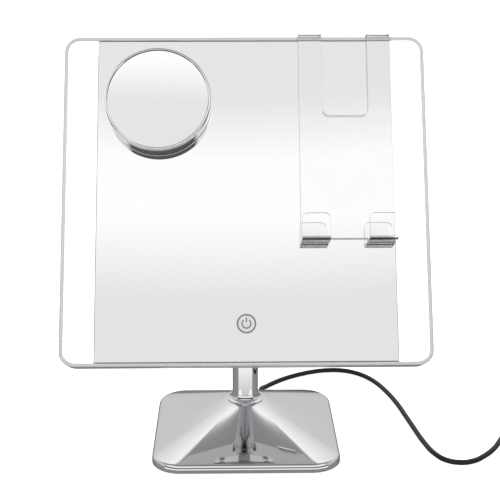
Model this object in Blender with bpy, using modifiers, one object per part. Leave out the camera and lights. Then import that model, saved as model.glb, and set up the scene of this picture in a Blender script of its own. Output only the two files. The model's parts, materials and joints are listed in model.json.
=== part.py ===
"""Lighted tabletop mirror: chrome pyramid base and stem, leaning lit panel, magnifier and phone cradle.

Frame: +Z up, +X to the viewer's right, the mirror faces -Y. The origin is on the table, below the stem.
Panel pieces are made in the panel's own frame, with its origin on the tilt pin: u along X, v up the panel,
and depth w towards the viewer, which is -Y before the panel leans.
"""
import math

import bmesh
import bpy
from mathutils import Matrix, Vector

# Driving dimensions, in metres and degrees.
GAP = 0.0003                 # between faces that touch

BASE_WIDTH = 0.1632
BASE_DEPTH = 0.1632
BASE_CORNER = 0.026          # corner radius seen from above
SHELL_WALL = 0.0018
PAD_THICKNESS = 0.0012       # foam pad under the whole base
PAD_INSET = 0.004
RIM_WALL = 0.0047            # top of the upright wall, above the table
RIM_ROUND = 0.0046           # radius from the wall over to the slopes
APEX_HEIGHT = 0.0354         # flat ring round the stem
APEX_RADIUS = 0.0175
SLOPE_BULGE = 0.0002         # how far the slopes stand proud of flat
PLATE_THICKNESS = 0.0027
WEIGHT_HEIGHT = 0.0118
WEIGHT_BOTTOM_INSET = 0.0176  # from the outside of the base to the weight's lower edge
WEIGHT_TOP_INSET = 0.0376
WEIGHT_CORNER = 0.018
WEIGHT_BORE = 0.023
BOTTOM_SCREW_INSET = 0.0356
BOTTOM_SCREW_REACH = 0.0068  # from the seat of its head to its tip

STEM_RADIUS = 0.0115
STEM_WALL = 0.0016
COLLAR_RADIUS = 0.0165
COLLAR_HEIGHT = 0.006
COLLAR_EDGE = 0.0006         # upright edge at its foot
STUD_RADIUS = 0.009
STUD_INSERT = 0.014
SHELL_HOLE_CLEARANCE = 0.0005
LEAD_BORE = 0.003            # bore radius for the inner lead
NUT_ACROSS_FLATS = 0.026
NUT_HEIGHT = 0.006
WASHER_THICKNESS = 0.0016

PIVOT_HEIGHT = 0.2134        # tilt axis above the table
HEAD_DROP = 0.026            # from the tilt axis down to the seat of the swivel head
SPIGOT_RADIUS = 0.008
SPIGOT_LENGTH = 0.020
BUSH_FLANGE = 0.0012
BUSH_SLEEVE = 0.015
GROOVE_DEPTH = 0.001         # for the retaining ring
GROOVE_WIDTH = 0.0016
HEAD_CHAMFER = 0.0015
FORK_SLOT = 0.015            # clear width between the ears
FORK_TOP = 0.0085            # ears above the tilt axis
FORK_FLOOR = 0.0095          # slot floor below the tilt axis
FORK_DEPTH = 0.016           # ears from front to back
EAR_SEAT = 0.0107            # flat seats for the pin head and the nut, from the middle
PIN_RADIUS = 0.003
PIN_HEAD_RADIUS = 0.0045
PIN_HEAD_HEIGHT = 0.0022
PIN_SEAT_CLEARANCE = 0.0006  # round the pin's head and its nut
PIN_THREAD = 0.0016          # how far the pin reaches past the seat, into the nut
HINGE_NUT_HEIGHT = 0.003
FRICTION_WASHER = 0.0009
LUG_RADIUS = 0.0075

PANEL_LEAN = 26.5            # degrees back from upright
PANEL_WIDTH = 0.305
PANEL_HEIGHT = 0.280
PANEL_CORNER = 0.013
PANEL_FRONT = 0.038          # front of the bezel from the tilt axis
PANEL_DEPTH = 0.022
COVER_WALL = 0.0022
COVER_ROUND = 0.005
BEZEL_FACE = 0.0033
BEZEL_DEPTH = 0.008
BEZEL_ROUND = 0.0008
BRACKET_CORNER = 0.004
GLASS_RECESS = 0.0006
GLASS_THICKNESS = 0.003
STRIP_WIDTH = 0.0252         # lit strip, from the bezel inwards
CHASSIS_THICKNESS = 0.0024
BOSS_RADIUS = 0.004
TRAY_DEPTH = 0.0095
TRAY_WALL = 0.0012
LED_BOARD_WIDTH = 0.012
LED_BOARD_END = 0.0004       # from the board's ends to the tray's walls
BOARD_THICKNESS = 0.0014
LED_COUNT = 12
LED_SIDE = 0.003
LED_HEIGHT = 0.0009
TOUCH_DROP = 0.1052          # touch symbol below the middle of the panel
TOUCH_RADIUS = 0.007
TOUCH_PLATE = 0.0008         # thickness of the touch pad's plate
TOUCH_SPRING = 0.002         # radius of its contact
CONTROL_WIDTH = 0.036
CONTROL_HEIGHT = 0.028
CONTROL_STANDOFF = 0.003     # control board behind the chassis
CONTROL_MARGIN = 0.003       # window in the chassis, round the control board
CHIP_HEIGHT = 0.0012
BRACKET_WIDTH = 0.062
BRACKET_HEIGHT = 0.046
BRACKET_THICKNESS = 0.0026
BRACKET_SCREW_INSET = 0.0075
COVER_SCREW_INSET = 0.022    # from the panel's top and bottom edges, and from the strips
PANEL_SCREW_SHORT = 0.001    # screw tips stop this far behind the front of the chassis

MAGNIFIER_RADIUS = 0.0445
MAGNIFIER_U = -0.0726
MAGNIFIER_V = 0.081
MAGNIFIER_PROUD = 0.015      # front of its rim from the front of the bezel
MAGNIFIER_RIM = 0.0022
MAGNIFIER_WALL = 0.002
MAGNIFIER_STANDOFF = 0.0012  # back of its rim from the front of the bezel
MAGNIFIER_EDGE = 0.0006      # bevel at the front of the rim
MAGNIFIER_WEB = 0.0025
MAGNIFIER_LEDGE = 0.0025     # width of the ledge that the lens lies on
LENS_RECESS = 0.0006
LENS_THICKNESS = 0.0024
LENS_DISH = 0.0011           # its front is hollow, so that it magnifies: middle behind edge
CUP_RADIUS = 0.013
CUP_CIRCLE = 0.025
CUP_WALL = 0.0011
CUP_HEIGHT = 0.0065
CUP_STUD = 0.005             # radius of its fixed top
CUP_STUD_HEIGHT = 0.0028

CRADLE_U = 0.0845
CRADLE_WIDTH = 0.078
CRADLE_SHEET = 0.0025
CRADLE_CHANNEL = 0.0165      # room for the phone between plate and lips
CRADLE_BOTTOM = -0.0396
CRADLE_BEND = 0.003          # bend radius at the middle of the sheet
CRADLE_HOOK = 0.016          # how far the hooks reach down the back
CRADLE_LIP = 0.022
STRAP_WIDTH = 0.0198
STRAP_LENGTH = 0.072
LIP_WIDTH = 0.0231
STRAP_CORNER = 0.006
CRADLE_STANDOFF = 0.0005

CORD_RADIUS = 0.0023
CORD_EXIT_X = 0.017
CORD_EXIT_Z = 0.0049
RELIEF_INSIDE = 0.0135       # from the outside of the wall to its inner end
RELIEF_SETBACK = 0.004       # its flange behind the rounded rim
RELIEF_OUTSIDE = 0.0070
RELIEF_RADIUS = 0.0028
RELIEF_FLANGE = 0.0005
RELIEF_FLANGE_DEPTH = 0.0024
RELIEF_COLLAR = 0.002        # straight part outside the wall
RELIEF_TIP = 0.0004          # its wall at the tip
NOTCH_CLEARANCE = 0.003      # base plate round the strain relief
LEAD_RADIUS = 0.0016
HARNESS_RADIUS = 0.0012
COIL_X = 0.286
COIL_Y = 0.048
COIL_RADIUS = 0.027          # middle of the turns
COIL_PITCH = 0.0047
COIL_ENTRY = 165             # where the cord touches the turns, in degrees round the coil
COIL_EXIT = 135
ADAPTOR_X = 0.292
ADAPTOR_Y = 0.120            # face that the cord enters
ADAPTOR_WIDTH = 0.030
ADAPTOR_LENGTH = 0.042
ADAPTOR_HEIGHT = 0.025
ADAPTOR_CORNER = 0.004
ADAPTOR_BOOT = 0.010
BOOT_WALL = 0.0022           # at its root; it tapers to BOOT_TIP
BOOT_TIP = 0.0005
PRONG_LENGTH = 0.0158
PRONG_WIDTH = 0.0063
PRONG_THICKNESS = 0.0015
PRONG_SPACING = 0.0127

SCREW_RADIUS = 0.0015
SCREW_HEAD_RADIUS = 0.003
SCREW_HEAD_HEIGHT = 0.0016
SCREW_CLEARANCE = 0.0003
SCREW_SEAT_CLEARANCE = 0.0005
TABLE_CLEARANCE = 0.0001     # below the cord, its coil and the adaptor

# The cord's route along the table, chosen by hand: x, y and height of its middle.
CORD_ROUTE = [
    (0.0171, 0.0912, 0.0047), (0.0188, 0.0965, 0.0035), (0.0218, 0.1012, 0.0026),
    (0.0264, 0.1070, 0.0024), (0.0345, 0.1155, 0.0024), (0.0430, 0.1230, 0.0024),
    (0.0515, 0.1290, 0.0024), (0.0600, 0.1340, 0.0024), (0.0690, 0.1385, 0.0024),
    (0.0850, 0.1430, 0.0024), (0.1010, 0.1425, 0.0024), (0.1150, 0.1355, 0.0024),
    (0.1255, 0.1240, 0.0024), (0.1330, 0.1100, 0.0024), (0.1400, 0.0895, 0.0024),
    (0.1465, 0.0620, 0.0024), (0.1515, 0.0290, 0.0024), (0.1555, 0.0000, 0.0024),
    (0.1597, -0.0270, 0.0024), (0.1655, -0.0490, 0.0024), (0.1740, -0.0620, 0.0024),
    (0.1855, -0.0662, 0.0024), (0.1965, -0.0635, 0.0024), (0.2085, -0.0535, 0.0024),
    (0.2195, -0.0400, 0.0024), (0.2290, -0.0230, 0.0024), (0.2380, -0.0050, 0.0024),
    (0.2460, 0.0150, 0.0024),
]

SHELL_FOOT = PAD_THICKNESS + GAP
HEAD_SEAT = PIVOT_HEIGHT - HEAD_DROP
STEM_TOP = HEAD_SEAT - BUSH_FLANGE - 2 * GAP
PANEL_BACK = PANEL_FRONT - PANEL_DEPTH
GLASS_FRONT = PANEL_FRONT - GLASS_RECESS
GLASS_BACK = GLASS_FRONT - GLASS_THICKNESS
CHASSIS_FRONT = GLASS_BACK - GAP
CHASSIS_BACK = CHASSIS_FRONT - CHASSIS_THICKNESS
COVER_INSIDE = PANEL_BACK + COVER_WALL
OPENING_WIDTH = PANEL_WIDTH - 2 * BEZEL_FACE
OPENING_HEIGHT = PANEL_HEIGHT - 2 * BEZEL_FACE
MIRROR_WIDTH = OPENING_WIDTH - 2 * STRIP_WIDTH
MAGNIFIER_FRONT = PANEL_FRONT + MAGNIFIER_PROUD
WEIGHT_FLOOR = SHELL_FOOT + PLATE_THICKNESS + GAP
STUD_FOOT = APEX_HEIGHT - SHELL_WALL - WASHER_THICKNESS - NUT_HEIGHT - 3 * GAP
LUG_WIDTH = FORK_SLOT - 2 * (FRICTION_WASHER + 2 * GAP)

PARTS = "lighted_tabletop_mirror"
CUTTERS = "cutters"


# ---------------------------------------------------------------- materials and bookkeeping

def make_material(name, colour, roughness, metallic=0.0, alpha=1.0):
    material = bpy.data.materials.new(name)
    material.use_nodes = True
    shader = material.node_tree.nodes["Principled BSDF"]
    shader.inputs["Base Color"].default_value = (*colour, 1.0)
    shader.inputs["Roughness"].default_value = roughness
    shader.inputs["Metallic"].default_value = metallic
    shader.inputs["Alpha"].default_value = alpha
    return material


def add_object(name, mesh, material, parent=None, collection=PARTS):
    thing = bpy.data.objects.new(name, mesh)
    bpy.data.collections[collection].objects.link(thing)
    thing.parent = parent
    if material is not None:
        mesh.materials.clear()
        mesh.materials.append(material)
    return thing


def add_cutter(name, mesh, parent=None):
    cutter = add_object(name, mesh, None, parent, CUTTERS)
    cutter.hide_render = True
    cutter.display_type = "WIRE"
    return cutter


def add_axis(name, location, parent=None):
    axis = bpy.data.objects.new(name, None)
    bpy.data.collections[PARTS].objects.link(axis)
    axis.parent = parent
    axis.location = location
    return axis


def smooth(thing, angle=35.0):
    thing.data.shade_smooth()
    thing.data.set_sharp_from_angle(angle=math.radians(angle))
    return thing


def combine(thing, cutter, operation="DIFFERENCE"):
    modifier = thing.modifiers.new(cutter.name, "BOOLEAN")
    modifier.operation = operation
    modifier.solver = "EXACT"
    modifier.object = cutter
    return thing


# ---------------------------------------------------------------- shapes

def write_mesh(name, shape):
    bmesh.ops.recalc_face_normals(shape, faces=shape.faces)
    mesh = bpy.data.meshes.new(name)
    shape.to_mesh(mesh)
    shape.free()
    return mesh


def block_shape(size, centre, radius=0.0, axis=1, segments=5):
    """A box, with the four edges along one axis rounded."""
    shape = bmesh.new()
    bmesh.ops.create_cube(shape, size=1.0)
    bmesh.ops.scale(shape, vec=Vector(size), verts=shape.verts)
    if radius > 0.0:
        edges = [edge for edge in shape.edges
                 if abs((edge.verts[0].co - edge.verts[1].co)[axis]) > 0.5 * size[axis]]
        bmesh.ops.bevel(shape, geom=edges, offset=radius, segments=segments, profile=0.5,
                        affect="EDGES", clamp_overlap=False)
    bmesh.ops.translate(shape, vec=Vector(centre), verts=shape.verts)
    return shape


def block(name, size, centre, radius=0.0, axis=1, segments=5):
    return write_mesh(name, block_shape(size, centre, radius, axis, segments))


def panel_block(name, width, height, back, front, u=0.0, v=0.0, radius=0.0):
    """A slab of the panel between two depths."""
    size = (width, front - back, height)
    return block(name, size, (u, -0.5 * (back + front), v), radius)


def rods(name, places, radius, low, high, axis=2, sides=10):
    """Round rods of one radius between two levels on an axis, at each of the places."""
    shape = bmesh.new()
    turn = {0: Matrix.Rotation(math.radians(90), 3, "Y"), 1: Matrix.Rotation(math.radians(90), 3, "X"),
            2: Matrix.Identity(3)}[axis]
    for place in places:
        made = bmesh.ops.create_cone(shape, cap_ends=True, segments=sides, radius1=radius, radius2=radius,
                                     depth=high - low)
        bmesh.ops.rotate(shape, cent=(0, 0, 0), matrix=turn, verts=made["verts"])
        centre = list(place)
        centre.insert(axis, 0.5 * (low + high))
        bmesh.ops.translate(shape, vec=Vector(centre), verts=made["verts"])
    return write_mesh(name, shape)


def turned(name, profile, material, parent=None, closed=True, steps=24, direction="Z"):
    """A profile of (radius, height) turned round the Z axis, and laid along another axis if asked."""
    mesh = bpy.data.meshes.new(name)
    count = len(profile)
    edges = [(i, i + 1) for i in range(count - 1)]
    if closed:
        edges.append((count - 1, 0))
    mesh.from_pydata([(radius, 0.0, height) for radius, height in profile], edges, [])
    thing = add_object(name, mesh, material, parent)
    screw = thing.modifiers.new("turn", "SCREW")
    screw.steps = steps
    screw.render_steps = steps
    screw.use_merge_vertices = True
    screw.merge_threshold = 0.00001
    screw.use_smooth_shade = False
    if direction == "X":
        thing.rotation_euler = (0.0, math.radians(90), 0.0)
    if direction == "Y":
        thing.rotation_euler = (math.radians(-90), 0.0, 0.0)
    if direction == "-Y":
        thing.rotation_euler = (math.radians(90), 0.0, 0.0)
    return thing


def ring(name, inner, outer, low, high, material, parent=None, steps=24, direction="Z"):
    profile = [(outer, high), (outer, low), (inner, low), (inner, high)]
    return turned(name, profile, material, parent, steps=steps, direction=direction)


def outline_mesh(name, points, thickness):
    """A flat closed outline in the XY plane, filled and thickened about it, as a welded mesh."""
    curve = bpy.data.curves.new(name, "CURVE")
    curve.dimensions = "2D"
    curve.fill_mode = "BOTH"
    curve.extrude = 0.5 * thickness
    spline = curve.splines.new("POLY")
    spline.points.add(len(points) - 1)
    for point, (x, y) in zip(spline.points, points):
        point.co = (x, y, 0.0, 1.0)
    spline.use_cyclic_u = True
    return curve_to_mesh(name, curve)


def curve_to_mesh(name, curve):
    holder = bpy.data.objects.new(name, curve)
    bpy.context.scene.collection.objects.link(holder)
    bpy.context.view_layer.update()
    mesh = bpy.data.meshes.new_from_object(holder.evaluated_get(bpy.context.evaluated_depsgraph_get()))
    bpy.data.objects.remove(holder)
    bpy.data.curves.remove(curve)
    shape = bmesh.new()
    shape.from_mesh(mesh)
    bpy.data.meshes.remove(mesh)
    bmesh.ops.remove_doubles(shape, verts=shape.verts, dist=0.000005)
    return write_mesh(name, shape)


def side_outline_mesh(name, points, width, middle):
    """An outline drawn as (depth, v) in a panel section, thickened along u about the given middle."""
    mesh = outline_mesh(name, points, width)
    mesh.transform(Matrix(((0, 0, 1, middle), (-1, 0, 0, 0), (0, 1, 0, 0), (0, 0, 0, 1))))
    mesh.flip_normals()
    return mesh


def arc(centre, radius, start, end, count):
    return [(centre[0] + radius * math.cos(math.radians(start + (end - start) * i / count)),
             centre[1] + radius * math.sin(math.radians(start + (end - start) * i / count)))
            for i in range(count + 1)]


def bent_strip(corners, thickness, bend, steps=5):
    """The outline of a sheet of even thickness, bent round each inner corner of its middle line."""
    middle = [Vector(corners[0])]
    sideways = []
    first = (Vector(corners[1]) - Vector(corners[0])).normalized()
    sideways.append(Vector((-first.y, first.x)))
    for before, corner, after in zip(corners, corners[1:], corners[2:]):
        arriving = (Vector(corner) - Vector(before)).normalized()
        leaving = (Vector(after) - Vector(corner)).normalized()
        turn = arriving.angle_signed(leaving) * -1.0
        side = Vector((-arriving.y, arriving.x)) * (1.0 if turn > 0 else -1.0)
        centre = Vector(corner) - arriving * bend + side * bend
        for i in range(steps + 1):
            angle = turn * i / steps
            spoke = Matrix.Rotation(angle, 2) @ (-side)
            middle.append(centre + spoke * bend)
            sideways.append(spoke * (-1.0 if turn > 0 else 1.0))
    last = (Vector(corners[-1]) - Vector(corners[-2])).normalized()
    middle.append(Vector(corners[-1]))
    sideways.append(Vector((-last.y, last.x)))
    left = [point + side * 0.5 * thickness for point, side in zip(middle, sideways)]
    right = [point - side * 0.5 * thickness for point, side in zip(middle, sideways)]
    return [tuple(point) for point in left + right[::-1]]


def smooth_path(points, spacing):
    """Points at an even spacing on a smooth curve through the given ones."""
    points = [Vector(point) for point in points]
    ends = [2 * points[0] - points[1]] + points + [2 * points[-1] - points[-2]]
    fine = []
    for a, b, c, d in zip(ends, ends[1:], ends[2:], ends[3:]):
        for i in range(12):
            t = i / 12
            fine.append(0.5 * (2 * b + (c - a) * t + (2 * a - 5 * b + 4 * c - d) * t * t
                               + (3 * b - a - 3 * c + d) * t ** 3))
    fine.append(points[-1])
    length = sum((q - p).length for p, q in zip(fine, fine[1:]))
    count = max(2, round(length / spacing))
    step = length / count
    stations = [0.0, 0.2 * step] + [step * i for i in range(1, count)] + [length - 0.2 * step, length]
    path = []
    walked = 0.0
    for p, q in zip(fine, fine[1:]):
        span = (q - p).length
        while len(path) < len(stations) and stations[len(path)] <= walked + span + 1e-9:
            path.append(p.lerp(q, (stations[len(path)] - walked) / span))
        walked += span
    return path


def tube(name, points, radius, material, parent=None, spacing=None):
    curve = bpy.data.curves.new(name, "CURVE")
    curve.dimensions = "3D"
    curve.bevel_depth = radius
    curve.bevel_resolution = 2
    curve.use_fill_caps = True
    path = smooth_path(points, spacing or 5 * radius)
    spline = curve.splines.new("POLY")
    spline.points.add(len(path) - 1)
    for point, place in zip(spline.points, path):
        point.co = (*place, 1.0)
    thing = bpy.data.objects.new(name, curve)
    bpy.data.collections[PARTS].objects.link(thing)
    thing.parent = parent
    curve.materials.append(material)
    return thing


def screw(name, place, seat, tip, material, parent=None, direction="Z"):
    """A pan-head screw: its head stands on the seat level and its shank runs to the tip level."""
    way = 1.0 if tip > seat else -1.0
    head = seat - way * SCREW_HEAD_HEIGHT
    profile = [(0.0, head), (0.7 * SCREW_HEAD_RADIUS, head),
               (SCREW_HEAD_RADIUS, head + way * 0.5 * SCREW_HEAD_HEIGHT), (SCREW_HEAD_RADIUS, seat),
               (SCREW_RADIUS, seat), (SCREW_RADIUS, tip), (0.0, tip)]
    if way > 0:
        profile.reverse()
    thing = turned(name, profile, material, parent, closed=False, steps=10, direction=direction)
    thing.location = place
    return smooth(thing)


# ---------------------------------------------------------------- base

def base_outline(q, inner):
    """The base seen from above: a circle at q = 0 that becomes the rounded square at q = 1."""
    half_x = 0.5 * BASE_WIDTH - inner
    half_y = 0.5 * BASE_DEPTH - inner
    corner = BASE_CORNER - inner
    points = []
    for quarter in range(4):
        sx, sy = ((1, 1), (-1, 1), (-1, -1), (1, -1))[quarter]
        centre = (sx * (half_x - corner), sy * (half_y - corner))
        points += arc(centre, corner, 90 * quarter, 90 * quarter + 90, 5)
        nx, ny = ((-1, 1), (-1, -1), (1, -1), (1, 1))[quarter]
        goal_centre = (nx * (half_x - corner), ny * (half_y - corner))
        start = points[-1]
        goal = arc(goal_centre, corner, 90 * quarter + 90, 90 * quarter + 91, 1)[0]
        for i in (1, 2, 3):
            points.append((start[0] + (goal[0] - start[0]) * i / 4, start[1] + (goal[1] - start[1]) * i / 4))
    outline = []
    for x, y in points:
        turn = math.atan2(y, x)
        cx = APEX_RADIUS * math.cos(turn)
        cy = APEX_RADIUS * math.sin(turn)
        outline.append((cx + (x - cx) * q, cy + (y - cy) * q))
    return outline


def slope_foot():
    """Where the slopes run into the rim's round: its inset, its height and the slope's angle there."""
    run = 0.5 * min(BASE_WIDTH, BASE_DEPTH) - APEX_RADIUS
    angle = math.radians(25)
    for _ in range(6):
        inset = RIM_ROUND * (1 - math.sin(angle))
        height = RIM_WALL + RIM_ROUND * math.cos(angle)
        angle = math.atan((APEX_HEIGHT - height + 4 * SLOPE_BULGE) / (run - inset))
    return inset, height, angle


def shell_sections():
    """Rings of points from the stem's hole, down the slopes and round the rim to the lower edge."""
    foot_inset, foot_height, foot_angle = slope_foot()
    circle = base_outline(0.0, 0.0)
    hole = (STUD_RADIUS + SHELL_HOLE_CLEARANCE) / APEX_RADIUS
    sections = [[(x * hole, y * hole, APEX_HEIGHT) for x, y in circle]]
    for step in range(6):
        q = step / 5
        height = APEX_HEIGHT + (foot_height - APEX_HEIGHT) * q + 4 * SLOPE_BULGE * q * (1 - q)
        sections.append([(x, y, height) for x, y in base_outline(q, foot_inset)])
    start = 0.5 * math.pi - foot_angle
    for step in (2, 1, 0):
        angle = start * step / 3
        inset = RIM_ROUND * (1 - math.cos(angle))
        height = RIM_WALL + RIM_ROUND * math.sin(angle)
        sections.append([(x, y, height) for x, y in base_outline(1.0, inset)])
    sections.append([(x, y, SHELL_FOOT) for x, y in base_outline(1.0, 0.0)])
    return sections


def make_base(finishes):
    chrome, iron, black, rubber, steel = (finishes[k] for k in ("chrome", "iron", "black", "rubber", "steel"))

    shape = bmesh.new()
    rings = [[shape.verts.new(point) for point in section] for section in shell_sections()]
    for upper, lower in zip(rings, rings[1:]):
        for i in range(len(upper)):
            j = (i + 1) % len(upper)
            shape.faces.new((upper[i], lower[i], lower[j], upper[j]))
    mesh = bpy.data.meshes.new("base_shell")
    shape.to_mesh(mesh)
    shape.free()
    shell = add_object("base_shell", mesh, chrome)
    wall = shell.modifiers.new("wall", "SOLIDIFY")
    wall.thickness = SHELL_WALL
    wall.offset = -1.0
    wall.use_even_offset = True
    reach = 4 * SHELL_WALL
    relief_hole = rods("relief_hole", [(CORD_EXIT_X, CORD_EXIT_Z)], RELIEF_RADIUS + GAP,
                       0.5 * BASE_DEPTH - reach, 0.5 * BASE_DEPTH + reach, axis=1, sides=12)
    combine(shell, add_cutter("relief_hole", relief_hole))
    smooth(shell, 40)

    inset = SHELL_WALL + 2 * GAP
    plate_size = (BASE_WIDTH - 2 * inset, BASE_DEPTH - 2 * inset, PLATE_THICKNESS)
    plate_middle = SHELL_FOOT + 0.5 * PLATE_THICKNESS
    plate = add_object("base_plate", block("base_plate", plate_size, (0, 0, plate_middle),
                                           BASE_CORNER - inset, axis=2), black)
    sx = 0.5 * BASE_WIDTH - BOTTOM_SCREW_INSET
    sy = 0.5 * BASE_DEPTH - BOTTOM_SCREW_INSET
    corners = [(sx, sy), (-sx, sy), (-sx, -sy), (sx, -sy)]
    seat = SHELL_FOOT + SCREW_HEAD_HEIGHT + GAP
    hole = SCREW_RADIUS + SCREW_CLEARANCE
    above = 2 * (SHELL_FOOT + PLATE_THICKNESS)
    combine(plate, add_cutter("plate_holes", rods("plate_holes", corners, hole, 0.0, above)))
    sink = SCREW_HEAD_RADIUS + SCREW_SEAT_CLEARANCE
    combine(plate, add_cutter("plate_seats", rods("plate_seats", corners, sink, 0.0, seat)))
    notch_depth = RELIEF_INSIDE + NOTCH_CLEARANCE
    notch_y = 0.5 * BASE_DEPTH - 0.5 * notch_depth
    notch = block("relief_notch", (4 * RELIEF_RADIUS, notch_depth, 2 * above), (CORD_EXIT_X, notch_y, 0.0))
    combine(plate, add_cutter("relief_notch", notch))

    low_x = BASE_WIDTH - 2 * WEIGHT_BOTTOM_INSET
    low_y = BASE_DEPTH - 2 * WEIGHT_BOTTOM_INSET
    middle = WEIGHT_FLOOR + 0.5 * WEIGHT_HEIGHT
    shape = block_shape((low_x, low_y, WEIGHT_HEIGHT), (0, 0, middle), WEIGHT_CORNER, axis=2)
    step_in = WEIGHT_TOP_INSET - WEIGHT_BOTTOM_INSET
    for vert in shape.verts:
        if vert.co.z > middle:
            vert.co.x *= 1 - 2 * step_in / low_x
            vert.co.y *= 1 - 2 * step_in / low_y
    weight = add_object("base_weight", write_mesh("base_weight", shape), iron)
    bore = rods("weight_bore", [(0, 0)], WEIGHT_BORE, 0.0, 2 * (WEIGHT_FLOOR + WEIGHT_HEIGHT), sides=24)
    combine(weight, add_cutter("weight_bore", bore))
    screw_tip = seat + BOTTOM_SCREW_REACH
    combine(weight, add_cutter("weight_taps", rods("weight_taps", corners, hole, 0.0, screw_tip + GAP)))
    for number, (x, y) in enumerate(corners, 1):
        screw(f"bottom_screw_{number}", (x, y, 0.0), seat - GAP, screw_tip, steel)

    pad_size = (BASE_WIDTH - 2 * PAD_INSET, BASE_DEPTH - 2 * PAD_INSET, PAD_THICKNESS)
    pad = block("base_pad", pad_size, (0, 0, 0.5 * PAD_THICKNESS), BASE_CORNER - PAD_INSET, axis=2)
    add_object("base_pad", pad, rubber)


# ---------------------------------------------------------------- stem, swivel and tilt fork

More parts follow.
